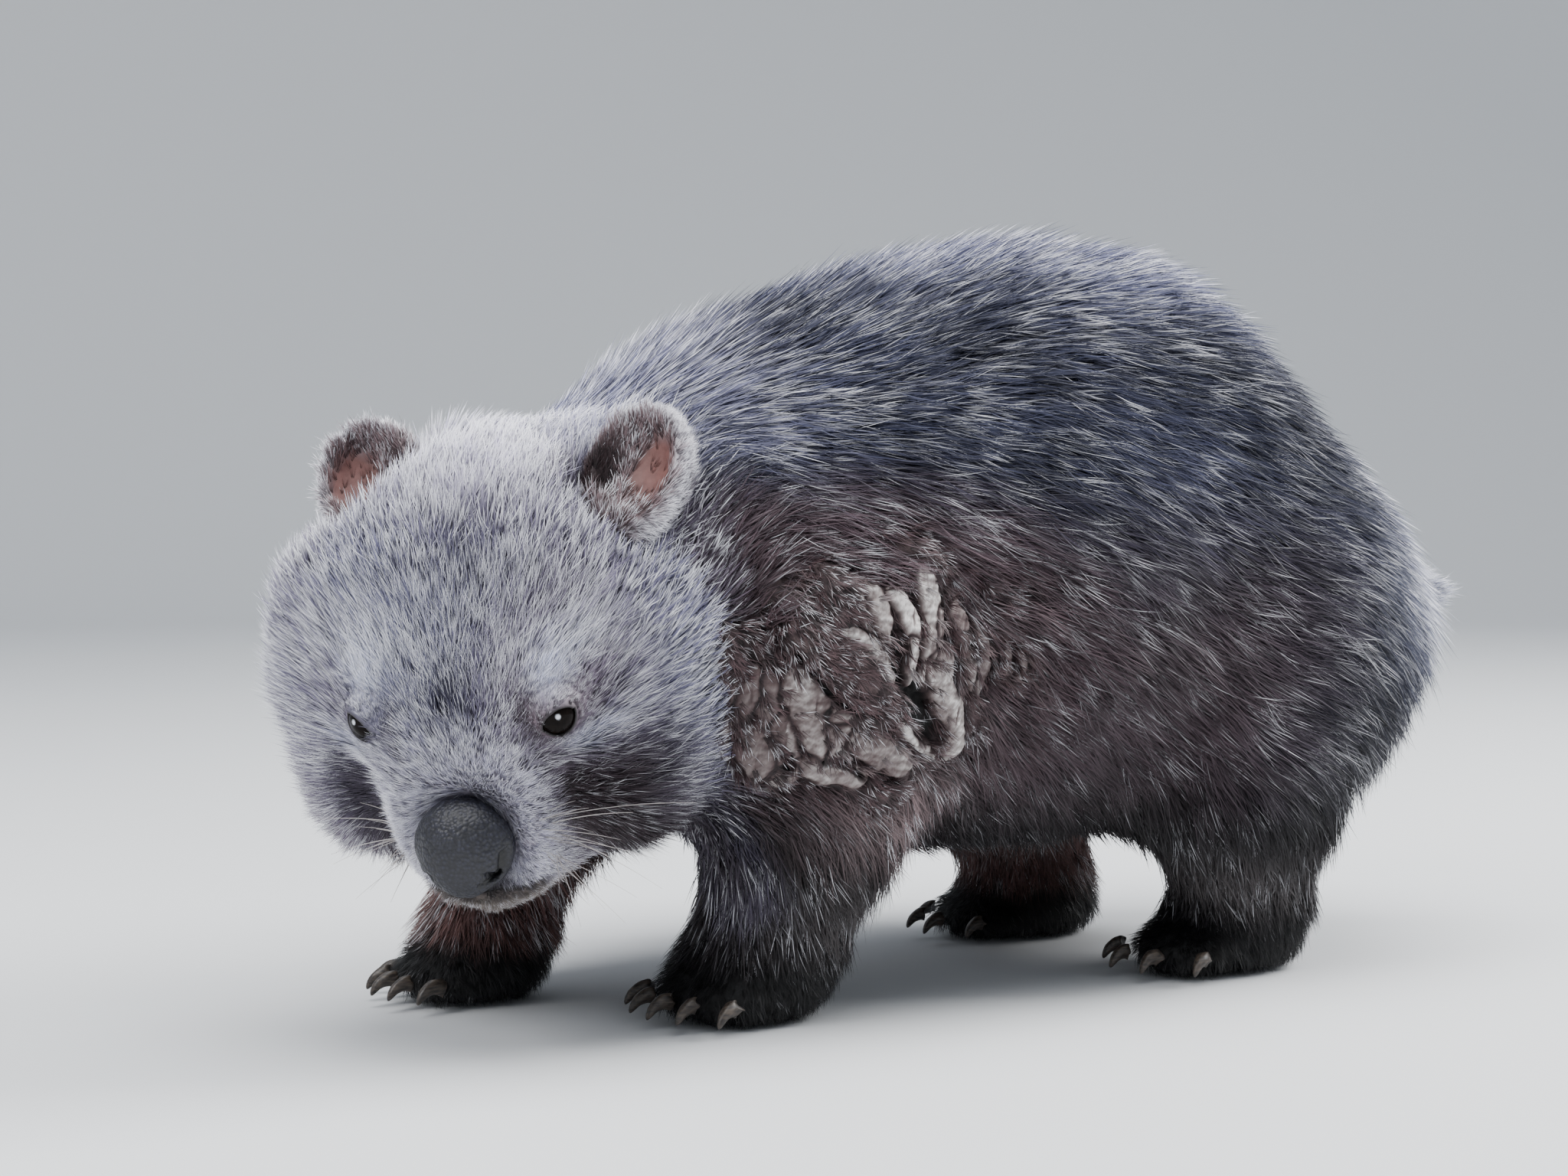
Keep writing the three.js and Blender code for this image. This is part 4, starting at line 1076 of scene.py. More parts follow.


# Hair: the skin's colour, darker at the root, partly the hair's own colour and partly painted shade deep in
# the coat, varied by tuft and by hair, with white tips on its share.
def hairFinish(name):
    made, tree, shader = newFinish(name, hair["roughness"], hair["specular"])
    along, frost = painted(tree, "along", "Fac"), painted(tree, "frost", "Fac")

    def mapped(value, **inputs):
        return addNode(tree, "ShaderNodeMapRange", {"Value": value, **inputs}).outputs[0]

    def varied(byTuft, byHair):
        drawn = (("tuftDraw", byTuft), ("hairDraw", byHair))
        shares = [maths(tree, "MULTIPLY", painted(tree, key, "Fac"), share) for key, share in drawn]
        return maths(tree, "ADD", *shares)

    root = maths(tree, "ADD", maths(tree, "MULTIPLY", frost, hair["frostShade"]), hair["rootShade"])
    shade = mapped(along, **{"From Max": hair["shadeEnd"], "To Min": root, "To Max": hair["tipShade"]})
    body = blended(tree, "MULTIPLY", 1.0, painted(tree, "coatColour"), shade)
    tone = blended(tree, "MIX", varied(hair["byTuft"], hair["byHair"]), hair["dark"], hair["light"])
    body = blended(tree, "MULTIPLY", 1.0, body, tone)
    tip = mapped(along, **{"From Min": hair["tipStart"], "From Max": hair["tipEnd"]})
    chance = maths(tree, "SUBTRACT", frost, varied(hair["tipByTuft"], hair["tipByHair"]))
    white = mapped(chance, **{"From Min": hair["tipSoft"][0], "From Max": hair["tipSoft"][1]})
    share = maths(tree, "MULTIPLY", maths(tree, "MULTIPLY", tip, white), hair["tipStrength"])
    feed(tree, shader.inputs["Base Color"], blended(tree, "MIX", share, body, hair["tipColour"]))
    return made


# Bare skin: its painted colour, mottled, with a fine grain.
def hideFinish(name, low, high, scale, bumpHeight, roughness, colourName="coatColour"):
    made, tree, shader = newFinish(name, roughness)
    grain = noise(tree, objectPlace(tree), scale, Detail=6)
    mottled = tinted(tree, grain, low, high, 0.3, 0.7)
    tone = blended(tree, "MULTIPLY", 1.0, painted(tree, colourName), mottled)
    feed(tree, shader.inputs["Base Color"], tone)
    bumped(tree, shader, grain, 0.7, bumpHeight)
    return made


# The nose: dark charcoal leather with close round grains, times the pad's colour, which holds painted shade
# in the nostrils.
def noseFinish():
    made, tree, shader = newFinish("noseLeather", 0.48, 0.45)
    place = objectPlace(tree)
    grains = addNode(tree, "ShaderNodeTexVoronoi", {"Vector": place, "Scale": 620}).outputs["Distance"]
    tone = tinted(tree, grains, linear(44, 45, 60), linear(20, 20, 28), 0, 0.62)
    tone = blended(tree, "MULTIPLY", 0.6, tone, noise(tree, place, 90))
    feed(tree, shader.inputs["Base Color"], blended(tree, "MULTIPLY", 1.0, tone, painted(tree, "coatColour")))
    bumped(tree, shader, grains, 0.8, 0.0005, invert=True)
    return made


# The eye: near-black brown and smooth, with a painted highlight, a small pale glint, on it.
def eyeFinish():
    made, tree, shader = newFinish("wetEye", 0.05, 0.06)
    brown = tinted(tree, noise(tree, objectPlace(tree), 500), (0.0015, 0.0012, 0.0012), (0.009, 0.006, 0.005))
    lit = blended(tree, "MIX", painted(tree, "glint", "Fac"), brown, (0.62, 0.64, 0.70, 1))
    feed(tree, shader.inputs["Base Color"], lit)
    return made


# Horn of the claws, streaked along.
def clawFinish():
    made, tree, shader = newFinish("wornHorn", 0.42)
    stretched = addNode(tree, "ShaderNodeMapping", {"Vector": objectPlace(tree), "Scale": (900, 180, 900)})
    streaks = noise(tree, stretched.outputs[0], 1.0)
    tone = tinted(tree, streaks, linear(34, 29, 27), linear(82, 72, 63), 0.35, 0.75)
    feed(tree, shader.inputs["Base Color"], tone)
    bumped(tree, shader, streaks, 0.3, 0.0003)
    return made


def whiskerFinish():
    made, tree, shader = newFinish("paleBristle", 0.35)
    tone = tinted(tree, noise(tree, objectPlace(tree), 60), linear(120, 112, 112), linear(214, 208, 204))
    feed(tree, shader.inputs["Base Color"], tone)
    return made


hide = hideFinish("darkHide", (0.34, 0.31, 0.31), (0.70, 0.66, 0.66), 420, 0.0010, 0.8)
bareHide = hideFinish("crustedHide", (0.66, 0.62, 0.61), (1.12, 1.10, 1.08), 420, 0.0006, 0.82, "hideColour")
softHide = hideFinish("softHide", (0.75, 0.72, 0.72), (1.1, 1.08, 1.08), 260, 0.0004, 0.6)


# ---- the crusted bare patch on the left flank

crust = {
    "step": 0.00062, "along": (-0.172, 0.018), "up": (0.092, 0.236), "edge": 0.26,
    "height": 0.0016, "perHalf": 0.00034, "lift": 0.0006, "sunk": 0.0024, "warp": 0.0013,
    "hole": 0.0052, "seam": 0.0013, "crack": 0.0006, "hollow": 0.0075,
    "fibres": (0.00024, 0.00016), "lumps": 0.00045, "grit": 0.00014,
    "bald": (0.19, 0.32), "hairTone": (84, 64, 66), "whiteTips": 0.30,
}
# Tones near 0 are painted shade, dark down to black in the seams and gaps between the folds.
crustTints = [  # tone, then colour
    (0, (4, 2, 3)), (0.10, (50, 36, 38)), (0.30, (82, 67, 67)),
    (0.60, (120, 111, 110)), (0.85, (160, 155, 153)), (1.05, (216, 214, 213)),
]
folds = [  # half the width in mm, how pale, then points of y and z in mm
    (2.3, 0.7, [(-89, 215), (-89, 209), (-92, 205)]),
    (2.5, 0.95, [(-90, 206), (-89, 199), (-88, 191), (-88, 181)]),
    (4.0, 0.8, [(-83, 206), (-82, 195), (-81, 186), (-81, 180)]),
    (3.8, 1.0, [(-74, 201), (-70, 194), (-66, 188), (-65, 182)]),
    (2.7, 0.85, [(-66, 179), (-66, 171), (-66, 161)]),
    (5.0, 0.92, [(-57, 206), (-55, 196), (-54, 185), (-55, 175), (-57, 162)]),
    (2.3, 0.7, [(-50, 193), (-49, 182), (-50, 171)]),
    (6.3, 0.88, [(-50, 168), (-46, 156), (-36, 143), (-30, 128)]),
    (4.1, 0.62, [(-40, 193), (-37, 180), (-29, 167), (-23, 157)]),
    (3.5, 0.48, [(-27, 187), (-23, 173), (-21, 161), (-16, 140)]),
    (2.8, 0.42, [(-11, 198), (-10, 182), (-6, 165)]), (2.8, 0.42, [(-1, 198), (0, 181), (2, 163)]),
    (3.6, 0.9, [(-99, 185), (-92, 180), (-84, 175), (-76, 165)]),
    (3.0, 0.98, [(-71, 143), (-57, 133), (-43, 126)]), (9.4, 0.46, [(-135, 158), (-131, 143), (-128, 125)]),
    (2.9, 0.78, [(-137, 168), (-138, 159), (-142, 149), (-147, 141), (-146, 131), (-139, 123)]),
    (3.6, 0.78, [(-123, 147), (-118, 138), (-117, 129)]),
    (6.5, 0.72, [(-118, 164), (-113, 155), (-108, 144), (-104, 135)]),
    (5.8, 0.8, [(-98, 145), (-94, 137), (-95, 129)]),
    (2.6, 0.95, [(-102, 149), (-93, 149), (-83, 144), (-70, 133)]),
    (6.2, 0.66, [(-87, 138), (-74, 128), (-60, 122)]),
    (4.4, 0.72, [(-115, 121), (-107, 124), (-97, 122), (-87, 120)]),
    (4.4, 0.74, [(-133, 110), (-127, 113), (-120, 114), (-117, 120)]),
    (2.5, 0.66, [(-153, 171), (-156, 161)]), (9.4, 0.2, [(-112, 179), (-99, 166), (-84, 153)]),
    (7.4, 0.14, [(-72, 230), (-56, 221), (-40, 213)]), (8.0, 0.14, [(-136, 208), (-123, 193), (-112, 179)]),
    (6.0, 0.12, [(-150, 196), (-146, 180), (-150, 168)]),
    (6.5, 0.13, [(-104, 218), (-100, 205), (-98, 192)]), (6.0, 0.12, [(-28, 214), (-22, 204), (-18, 192)]),
    (6.5, 0.16, [(-58, 118), (-44, 114), (-30, 112)]), (6.0, 0.14, [(-100, 110), (-84, 108), (-68, 110)]),
]
holes = [  # deep gaps between the folds: half the width in mm, then points
    (3.4, [(-74, 183), (-72, 169), (-71, 163)]), (5.6, [(-62, 157), (-57, 147), (-50, 138)]),
    (2.8, [(-28, 121), (-16, 114)]), (1.5, [(-118, 175), (-107, 161), (-98, 153), (-82, 149)]),
    (2.4, [(-153, 131), (-145, 124), (-134, 119)]), (1.8, [(-117, 130), (-116, 122)]),
    (1.3, [(-103, 128), (-92, 125), (-84, 120)]),
]


# The crust's height, tone and depth of gap at each place on the flank; the tone holds painted shade in the
# seams, cracks and gaps.
def crustForm(y, z):
    none = np.zeros(len(y))
    flat = np.c_[y, z, none]
    warp = crust["warp"]
    py = (y + warp * wavy(flat, 0.022, 41) + 0.5 * warp * wavy(flat, 0.007, 42)) * 1000
    pz = (z + warp * wavy(flat, 0.022, 43) + 0.5 * warp * wavy(flat, 0.007, 44)) * 1000
    height, seam, deep = none.copy(), none.copy(), none.copy()
    palenessAndShade = np.full(len(y), 0.10)
    for half, own, line in folds:
        t = offLine(np.c_[py, pz], line) / (half * 1.30)
        here = np.sqrt(np.clip(1 - t ** 4, 0, 1)) * (crust["height"] + crust["perHalf"] * half)
        inside = here > height
        seam = np.where(inside, 0, seam)
        seam = np.maximum(seam, np.exp(-(((t - 1.05) * half / 0.95) ** 2)) * (own > 0.3))
        palenessAndShade = np.where(inside, own * (0.62 + 0.38 * np.clip(1 - t ** 2, 0, 1)), palenessAndShade)
        height = np.maximum(height, here)
    across = wavy(np.c_[y * 0.30, z, none], 0.0026, 45, 10)
    along = wavy(np.c_[y, z * 0.22, none], 0.0030, 48, 8)
    lumps = wavy(flat, 0.0055, 46, 8)
    grit = wavy(flat, 0.0018, 49, 10)
    rough = ramp(palenessAndShade, 0.25, 0.6)
    fibres = crust["fibres"]
    coarse, gritty = crust["lumps"] * lumps, crust["grit"] * grit
    height += fibres[0] * across * rough + fibres[1] * along * rough + coarse + gritty
    height -= crust["seam"] * seam
    crack = ramp(along, 0.75, 1.3) * rough
    height -= crust["crack"] * crack
    for half, line in holes:
        t = offLine(np.c_[py, pz], line) / half
        deep = np.maximum(deep, 1 - ramp(t, 0.75, 1.15))
    height -= crust["hole"] * deep
    brownish = ramp(wavy(flat, 0.024, 47), -0.2, 1.0) * 0.45
    palenessAndShade = np.clip(palenessAndShade * (1 - brownish) + (0.14 * across + 0.12 * grit) * rough + 0.09 * lumps, 0.04, 1.05)
    # Painted shade: the seams, cracks and deep gaps are painted darker, down to black.
    palenessAndShade = palenessAndShade * (1 - 0.92 * np.clip(seam, 0, 1)) * (1 - 0.6 * crack) * (1 - deep)
    return height, palenessAndShade, deep


def makeCrust():
    ys, zs = (np.arange(*crust[key], crust["step"]) for key in ("along", "up"))
    grid = np.stack(np.meshgrid(ys, zs, indexing="ij"), -1).reshape(-1, 2)
    points, out, seen = np.zeros((len(grid), 3)), np.zeros((len(grid), 3)), np.zeros(len(grid), bool)
    for n, (y, z) in enumerate(grid.tolist()):
        hit = skinTree.ray_cast(Vector((0.3, y + modelShift[1], z + modelShift[2])), Vector((-1, 0, 0)))
        if hit[0] is not None:
            points[n], out[n], seen[n] = hit[0], hit[1], hit[0].x > 0.06
    share = crustShare(points, crust["edge"])
    height, tone, deep = crustForm(grid[:, 0], grid[:, 1])
    points += out * (height * share + crust["lift"] * share - crust["sunk"] * (1 - share))[:, None]
    many = len(zs)
    faces = []
    for i in range(len(ys) - 1):
        for j in range(many - 1):
            ring = (i * many + j, (i + 1) * many + j, (i + 1) * many + j + 1, i * many + j + 1)
            if all(seen[k] for k in ring) and max(share[k] for k in ring) > 0.02:
                faces.append(ring)
    used = sorted({k for ring in faces for k in ring})
    order = {k: n for n, k in enumerate(used)}
    mesh = meshFrom("crustPatch", points[used], [tuple(order[k] for k in ring) for ring in faces])
    stops = [stop for stop, _ in crustTints]
    tints = np.array([linear(*rgb) for _, rgb in crustTints])
    colour = np.stack([np.interp(tone, stops, tints[:, k]) for k in range(3)], -1)[used]
    places, normals = pointsOf(mesh), normalsOf(mesh)
    sizes = np.zeros((len(used), 4)) + hairSizes["crust"]
    hairy = 1 - 0.95 * ramp(tone[used], *crust["bald"])
    sizes[:, 3] *= hairy * (1 - deep[used]) * ramp(share[used], 0.25, 0.6)
    heading = [0, 0.75, -0.65] + 0.35 * threeWaves(places, (0.05, 0.05, 0.05), 61)
    hairTone = colour * 0.5 + linear(*crust["hairTone"]) * 0.5
    setColour(mesh, "hideColour", colour)
    dressing = alongSkin(heading, normals), sizes, hairTone, np.full(len(used), crust["whiteTips"])
    return furred(mesh, "crustPatch", "coat_back", bareHide, dressing)


# Lets the skin down under the patch, so that the gaps between the folds open into the dark.
def hollowSkin():
    mesh = skinPiece.data
    points, normals = pointsOf(mesh), normalsOf(mesh)
    share = ramp(crustShare(points, crust["edge"]), 0.45, 1.0)
    setPoints(mesh, points - normals * (crust["hollow"] * share)[:, None])


crustPiece = makeCrust()
hollowSkin()
print("crust: folds on the left flank")


# ---- eyes and lids

lid = {
    "wide": 0.0074, "tall": 0.0060, "upper": 0.82, "lower": 1.08, "slant": 26, "sideways": 0.56, "up": 0.16,
    "radius": 0.0095, "offBall": 0.0011, "perGrowth": 0.0068, "segments": 56, "rimTone": (22, 17, 19),
    "glintOut": 0.14, "glintUp": 0.26, "glintHalf": 0.0014,
    "ballSegments": (72, 56), "ballGap": 0.0001, "cornea": 1.03,
}
lidRings = [  # growth past the opening, height over the eye, share of the skin, height over the skin
    (1.00, -0.0003, 0, 0), (1.01, 0.0005, 0, 0), (1.07, 0.0010, 0, 0), (1.16, 0.0012, 0, 0),
    (1.30, 0.0010, 0.3, 0.0016), (1.50, 0.0008, 0.8, 0.0012), (1.80, 0, 1, 0.0006), (2.1, 0, 1, 0.0000),
    (2.5, 0, 1, -0.0012),
]


# The way an eye looks, and the ways its opening is wide and tall.
def eyeFrame(side):
    look = unit(np.array([side * lid["sideways"], -1, lid["up"]]))
    x = unit(np.array([1.0, 0, 0]) + look * -look[0])
    z = np.cross(x, -look)
    slant = -side * math.radians(lid["slant"])
    wide = math.cos(slant) * x - math.sin(slant) * z
    tall = math.sin(slant) * x + math.cos(slant) * z
    return headAxes @ look, headAxes @ wide * side, headAxes @ tall


def makeLid(side):
    word = "left" if side > 0 else "right"
    centre = np.array(eyeCentres[0 if side > 0 else 1])
    look, wide, tall = eyeFrame(side)
    many = lid["segments"]
    points = []
    for grow, over, share, lift in lidRings:
        for k in range(many):
            a = 2 * math.pi * k / many
            c, sn = math.cos(a), math.sin(a)
            height = lid["tall"] * (lid["upper"] if sn > 0 else lid["lower"]) * (1.0 - 0.22 * abs(c) ** 3)
            far = np.array([lid["wide"] * c * (1 + 0.10 * c * (sn < 0)), height * sn])
            far = far + far / np.linalg.norm(far) * (grow - 1) * lid["perGrowth"]
            rise = math.sqrt(max((lid["radius"] + over) ** 2 - np.linalg.norm(far) ** 2, 1e-7))
            spot = centre + wide * far[0] + tall * far[1] + look * rise
            if share > 0:
                near = skinTree.find_nearest(Vector(spot))
                spot = spot * (1 - share) + (np.array(near[0]) + np.array(near[1]) * lift) * share
                off = np.linalg.norm(spot - centre)
                spot = centre + (spot - centre) * max(1, (lid["radius"] + lid["offBall"]) / off)
            points.append(spot)

    def change(made):
        bmesh.ops.recalc_face_normals(made, faces=made.faces)
        if sum(part.normal.dot(Vector(look)) for part in made.faces) < 0:
            bmesh.ops.reverse_faces(made, faces=made.faces)

    mesh = edited(meshFrom(f"lid_{word}", points, ringFaces(len(lidRings), many)), change)
    points, normals = pointsOf(mesh), normalsOf(mesh)
    colour, frost = markings(points)
    ring = np.repeat(np.arange(len(lidRings)), many)
    rim = (1 - ramp(ring, 2.2, 4.4))[:, None]
    colour = colour * 0.9 * (1 - rim) + linear(*lid["rimTone"]) * rim
    away = unit(points - centre)
    heading = away - normals * (away * normals).sum(1)[:, None] + 0.9 * coatLie(points, normals)
    sizes = np.zeros((len(points), 4)) + hairSizes["lid"]
    sizes[:, 3] *= ramp(ring, 2.6, 4.2)
    return furred(mesh, f"lid_{word}", "coat_head", softHide, (unit(heading), sizes, colour, frost))


def makeBall(side, material):
    word = "left" if side > 0 else "right"
    centre = Vector(eyeCentres[0 if side > 0 else 1])
    look, wide, tall = eyeFrame(side)
    around, upright = lid["ballSegments"]
    made = bmesh.new()
    radius = lid["radius"] - lid["ballGap"]
    bmesh.ops.create_uvsphere(made, u_segments=around, v_segments=upright, radius=radius)
    for v in made.verts:
        v.co.z *= lid["cornea"]
    turned = Vector(look).to_track_quat("Z", "Y").to_matrix().to_4x4()
    bmesh.ops.transform(made, matrix=Matrix.Translation(centre) @ turned, verts=made.verts)
    mesh = bpy.data.meshes.new(f"ball_{word}")
    made.to_mesh(mesh)
    made.free()
    shadeSmooth(mesh)
    # A painted highlight: a pale spot on the ball's upper outer part.
    spot = np.array(centre) + lid["radius"] * unit(look + wide * lid["glintOut"] + tall * lid["glintUp"])
    away = np.linalg.norm(pointsOf(mesh) - spot, axis=1)
    setAttribute(mesh, "glint", "FLOAT", 1 - ramp(away, lid["glintHalf"] * 0.5, lid["glintHalf"]))
    return finished(linked(f"ball_{word}", mesh), "eye", f"eye_{word}", material=material)


lids = [makeLid(1), makeLid(-1)]
wetEye = eyeFinish()
makeBall(1, wetEye)
makeBall(-1, wetEye)
print("eyes: lids and balls")


# ---- nose

nose = {
    "place": (-0.004, -0.077, -0.021), "voxel": 0.0009, "grain": 0.00012, "smoothing": 12,
    "slitDeep": 0.0026, "slitHalf": 0.0013, "broader": 0.0016, "narrower": 0.0012, "sides": (0.008, 0.018),
    "slit": ((0.0100, -0.0095), (0.0145, -0.0085), (0.0185, -0.0045), (0.0205, 0.0015)),
    "splitHalf": 0.0009, "splitDeep": 0.0005,
}


def makeNosePad():
    mesh = smoothed(remeshed(joinedCopy("nosePad", ["nose_pad"]), nose["voxel"]), nose["smoothing"])
    points, normals = pointsOf(mesh), normalsOf(mesh)
    q = toHead(points) - nose["place"]
    move = nose["grain"] * wavy(points, 0.0022, 51, 12)
    low = 1 - ramp(q[:, 2], -0.012, 0.010)
    sides = ramp(np.abs(q[:, 0]), *nose["sides"])
    move += nose["broader"] * low * sides - nose["narrower"] * (1 - low) * sides
    hollow = np.zeros(len(points))
    for side in (1, -1):
        away = offLine(np.c_[q[:, 0], q[:, 2]], [(side * x, z) for x, z in nose["slit"]])
        hollow = np.maximum(hollow, bell(away, nose["slitHalf"]) * (q[:, 1] < 0.002))
    move -= nose["slitDeep"] * hollow
    split = bell(q[:, 0], nose["splitHalf"]) * (1 - ramp(q[:, 2], -0.012, -0.006)) * (q[:, 1] < 0)
    move -= nose["splitDeep"] * split
    setPoints(mesh, points + normals * move[:, None])
    mesh = smoothed(mesh, 2, 0.4)
    # Painted shade: the nostril slits and the groove between them are painted dark into the pad's colour.
    dark = 1 - 0.94 * np.clip(hollow * 1.3, 0, 1) - 0.4 * split
    setColour(mesh, "coatColour", np.c_[dark, dark, dark])
    shadeSmooth(mesh)
    return finished(linked("nosePad", mesh), "nose_skin", "nose_pad", material=noseFinish())


makeNosePad()
print("nose: pad with its nostrils")


# ---- ears

ear = {
    "x": 0.059, "shift": 0.002, "y": 0.046, "z": 0.071, "lean": 34, "splay": 8, "toe": 14,
    "half": 0.024, "long": 0.031, "voxel": 0.0013, "forward": 0.008, "smoothing": 10,
}


def makeEar(side):
    word = "left" if side > 0 else "right"
    turn = np.array(
        Matrix.Rotation(math.radians(-side * ear["toe"]), 3, "Z")
        @ Matrix.Rotation(math.radians(-(90 - ear["lean"])), 3, "X")
        @ Matrix.Rotation(math.radians(side * ear["splay"]), 3, "Y")
    )
    centre = np.array([side * ear["x"] + ear["shift"], ear["y"], ear["z"]]) + turn[:, 2] * ear["forward"]
    cup = remeshed(joinedCopy(f"earCup_{word}", [f"ear_{word}"]), ear["voxel"])
    mesh = smoothed(cup, ear["smoothing"])
    points, normals = pointsOf(mesh), normalsOf(mesh)
    local = (toHead(points) - centre) @ turn
    localNormals = (normals @ headAxes) @ turn
    radial = np.sqrt((local[:, 0] / ear["half"]) ** 2 + (local[:, 2] / ear["long"]) ** 2)
    facing = ramp(-localNormals[:, 1], 0.05, 0.45)
    out = side * local[:, 0]
    rim = ramp(radial, 0.78, 0.90) * ramp(out + local[:, 2] * 0.5, -0.012, 0.006)
    fromHollow = np.hypot((out - 0.0065) / 0.0125, (local[:, 2] - 0.001) / 0.0200)
    opening = facing * (1 - ramp(fromHollow, 0.75, 1.05))
    fromNotch = np.hypot((out + 0.0150) / 0.0075, (local[:, 2] + 0.005) / 0.0150)
    notch = facing * (1 - ramp(fromNotch, 0.6, 1.10))
    low = 1 - ramp(local[:, 2], -0.016, 0.004)
    shades = [  # share, colour, white tips
        (1 - facing, linear(104, 92, 98), 0.55),
        (opening, linear(112, 76, 71), 0.10),
        # Painted shade: the lower part of the ear's hollow is painted darker.
        (opening * low, linear(70, 46, 44), 0.08),
        (notch, linear(46, 32, 34), 0.05),
        (rim, linear(190, 186, 192), 0.9),
    ]
    coat = layered([*linear(118, 100, 102), 0.55], [(share, [*tone, white]) for share, tone, white in shades])
    spread = unit(np.c_[local[:, 0] / ear["half"], np.zeros(len(local)), local[:, 2] / ear["long"]])
    heading = unit(np.array([0, 0, 1.0]) * 0.8 + spread * (0.30 + 0.9 * rim)[:, None] + [0, 0.10, 0])
    heading = alongSkin(heading @ turn.T @ headAxes.T, normals)
    parts = ((opening, "earHollow"), (notch, "earNotch"), (rim, "earRim"))
    sizes = layered(hairSizes["ear"], [(share, hairSizes[name]) for share, name in parts])
    shadeSmooth(mesh)
    dressing = heading, sizes, coat[:, :3], np.clip(coat[:, 3], 0, 1)
    return furred(mesh, f"earCup_{word}", "coat_head", softHide, dressing, f"ear_{word}")


ears = [makeEar(1), makeEar(-1)]
print("ears: cups")


# ---- claws

def makeClaws():
    horn = clawFinish()
    for name in clawNodes:
        title = name.replace("claw_", "horn_")
        thing = joinedCopy(title, [name])
        change = thing.modifiers.new("round", "SUBSURF")
        change.levels = change.render_levels = 2
        mesh = evaluatedMesh(thing)
        bpy.data.objects.remove(thing)
        shadeSmooth(mesh)
        finished(linked(title, mesh), "claw", name, material=horn)


makeClaws()
print("claws: rounded")


# ---- whiskers

whisker = {
    "thick": 0.00030, "sides": 3, "steps": 9, "seed": 5, "sag": 0.12, "rootIn": 0.001,
    "farSide": 0.62, "stray": 0.07,
}
whiskers = [  # length, how far up or down the muzzle it starts, then its way: out, back and up, seen level
    (0.074, 0.2, (0.62, 0.78, 0.16)), (0.062, 0.5, (0.70, 0.66, -0.22)), (0.050, 0.8, (0.72, 0.50, -0.42)),
    (0.058, 0.4, (0.60, 0.74, -0.05)), (0.040, 0.7, (0.66, 0.30, -0.60)), (0.044, 0.3, (0.74, 0.62, 0.28)),
    (0.036, 0.9, (0.50, 0.20, -0.80)), (0.048, 0.6, (0.56, 0.80, -0.30)), (0.032, 0.1, (0.70, 0.55, 0.40)),
]


# A round tapering strand along a line of points, closed at both ends.
def strandMesh(points, radii, sides):
    ahead = unit(np.gradient(points, axis=0))
    across = unit(np.cross(ahead, [0.3, 0.2, 1.0]))
    upward = np.cross(ahead, across)
    rings = []
    for n, point in enumerate(points):
        for k in range(sides):
            a = 2 * math.pi * k / sides
            rings.append(point + radii[n] * (math.cos(a) * across[n] + math.sin(a) * upward[n]))
    ends = [tuple(range(sides))[::-1], tuple((len(points) - 1) * sides + k for k in range(sides))]
    return rings, ringFaces(len(points), sides) + ends


def makeWhiskers():
    draw = np.random.default_rng(whisker["seed"])
    points, faces = [], []
    for side, longest in ((1, 1.0), (-1, whisker["farSide"])):
        for long, low, aim in whiskers:
            for extra in range(2):
                out, back = draw.uniform(0.031, 0.037), draw.uniform(-0.003, 0.008)
                root = np.array([side * out - 0.004, -0.068 + back, -0.014 - 0.026 * low])
                hit = skinTree.find_nearest(Vector(fromHead(root[None])[0]))
                start = np.array(hit[0]) - np.array(hit[1]) * whisker["rootIn"]
                inHead = (headAxes.T @ unit(np.array(aim))) * [side, 1, 1]
                way = headAxes @ unit(inHead + draw.normal(0, whisker["stray"] + 0.12 * extra, 3))
                far = long * longest * draw.uniform(0.85, 1.0) * (1 - 0.45 * extra)
                t = np.linspace(0, 1, whisker["steps"])
                fall = (t ** 2)[:, None] * np.array([0, 0, -whisker["sag"] * far])
                line = start + t[:, None] * way * far + fall
                radii = whisker["thick"] * (1 - 0.8 * t) * draw.uniform(0.75, 1.1)
                ring, own = strandMesh(line, radii, whisker["sides"])
                faces += [tuple(k + len(points) for k in f) for f in own]
                points += ring
    mesh = meshFrom("whiskers", points, faces)
    return finished(linked("whiskers", mesh), "coat_head", material=whiskerFinish())


makeWhiskers()
print("whiskers: both sides")


# ---- the tail's stub, which long hair hides

tail = {
    "from": (0, 0.322, 0.190), "to": (0.001, 0.377, 0.187), "thick": 0.0105,
    "sides": 14, "steps": 9, "darker": 0.9, "whiteTips": 0.62,
}


def makeTail():
    a, b = np.array(tail["from"]) + modelShift, np.array(tail["to"]) + modelShift
    t = np.linspace(0, 1, tail["steps"])
    radii = tail["thick"] * np.sqrt(np.clip(1.02 - t ** 2, 0.02, 1))
    mesh = meshFrom("tailStub", *strandMesh(a + t[:, None] * (b - a), radii, tail["sides"]))
    points, normals = pointsOf(mesh), normalsOf(mesh)
    heading = [0, 1, 0.06] + 0.5 * normals
    heading -= normals * (heading * normals).sum(1)[:, None] * 0.9
    sizes = np.zeros((len(points), 4)) + hairSizes["tail"]
    colour = markings(points)[0] * tail["darker"]
    dressing = unit(heading), sizes, colour, np.full(len(points), tail["whiteTips"])
    return furred(mesh, "tailStub", "coat_back", hide, dressing)


tailPiece = makeTail()
print("tail: stub")


# ---- the coat

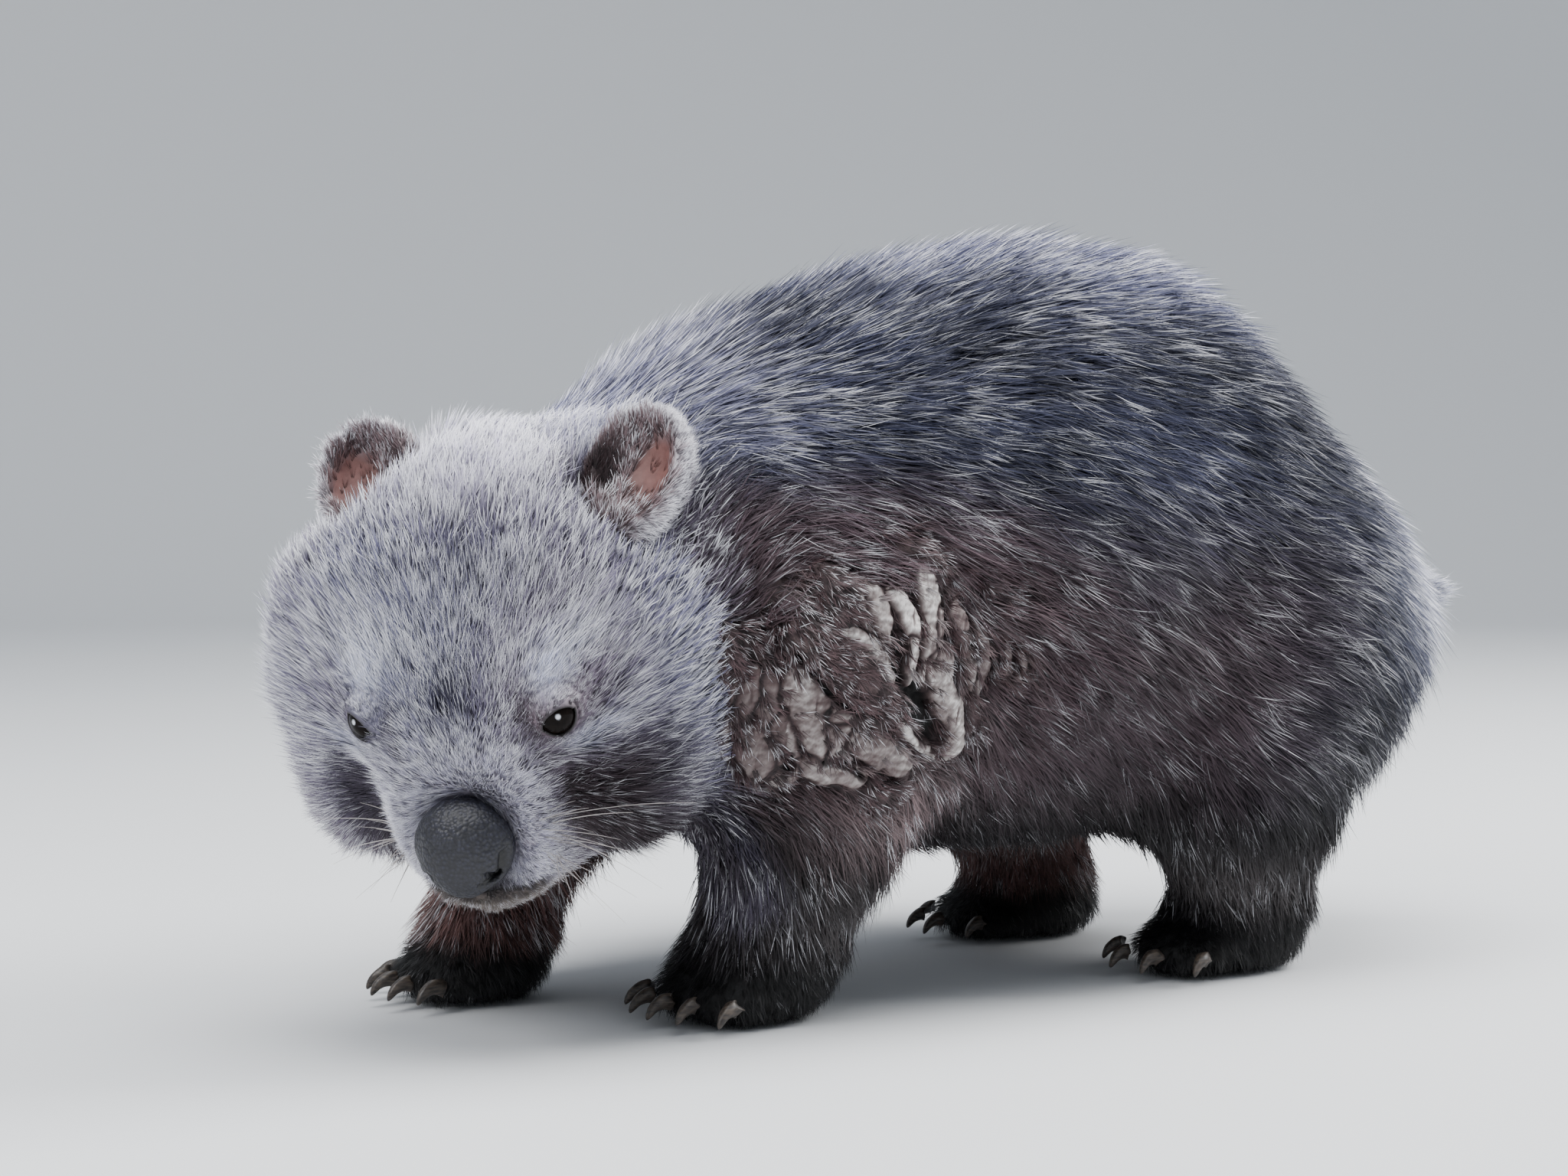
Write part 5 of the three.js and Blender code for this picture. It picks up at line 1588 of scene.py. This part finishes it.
trunkCoats = [place + side for place in ("Shoulder", "Ribs", "Rump") for side in ("Right", "Left")]
coats = [("coat" + name, "coat_back", "long") for name in trunkCoats]
coats += [("coatFrontLegs", "coat_legs", "long"), ("coatHindLegs", "coat_legs", "long")]
coats += [("coatHead" + side, "coat_head", "short") for side in ("Right", "Left")]
coats += [("coatFace" + side, "coat_head", "face") for side in ("Right", "Left")]
floorGap = 0.0008  # no hair goes lower than this


def makeCoat():
    tree = scatterTree()
    finish = hairFinish("frostedHair")
    shapes = {kind: tuftShapes(kind, 100 * (n + 1)) for n, kind in enumerate(kinds)}
    jobs = [(*coat, skinPiece, n) for n, coat in enumerate(coats)]
    sides = ("left", "right")
    jobs += [(f"hairLid_{side}", "coat_head", "face", piece, 0) for side, piece in zip(sides, lids)]
    jobs += [(f"hairEar_{side}", "coat_head", "short", piece, 0) for side, piece in zip(sides, ears)]
    jobs.append(("hairCrust", "coat_back", "short", crustPiece, 0))
    jobs.append(("hairTail", "coat_back", "long", tailPiece, 0))
    total = 0
    perArea = tuft["perSquareMetre"]
    quickShare = 1
    for number, (name, slot, kind, thing, section) in enumerate(jobs):
        mesh = grownBy(tree, thing, name, {
            "Tuft Shapes": shapes[kind],
            "Tufts Per Square Metre": perArea * kinds[kind]["more"] * quickShare,
            "Section": section,
            "Length Variety": tuft["lengthVariety"],
            "Straying": tuft["straying"],
            "Patch": tuft["patch"],
            "Seed": tuft["seed"] + number,
            "Finish": finish,
        })
        for spare in ("lie", "sizes", "coverage", "section", "rootUv", "tuftUv", "hideColour"):
            if mesh.attributes.get(spare):
                mesh.attributes.remove(mesh.attributes[spare])
        points = pointsOf(mesh)
        points[:, 2] = np.maximum(points[:, 2], floorGap)
        setPoints(mesh, points)
        finished(linked(name, mesh), slot)
        count = sum(len(p.vertices) - 2 for p in mesh.polygons)
        total += count
        print("coat:", name, count, "triangles")
    print("coat:", total, "triangles in all")


makeCoat()
finished(skinPiece, "coat_back", *fleshNodes, material=hide)
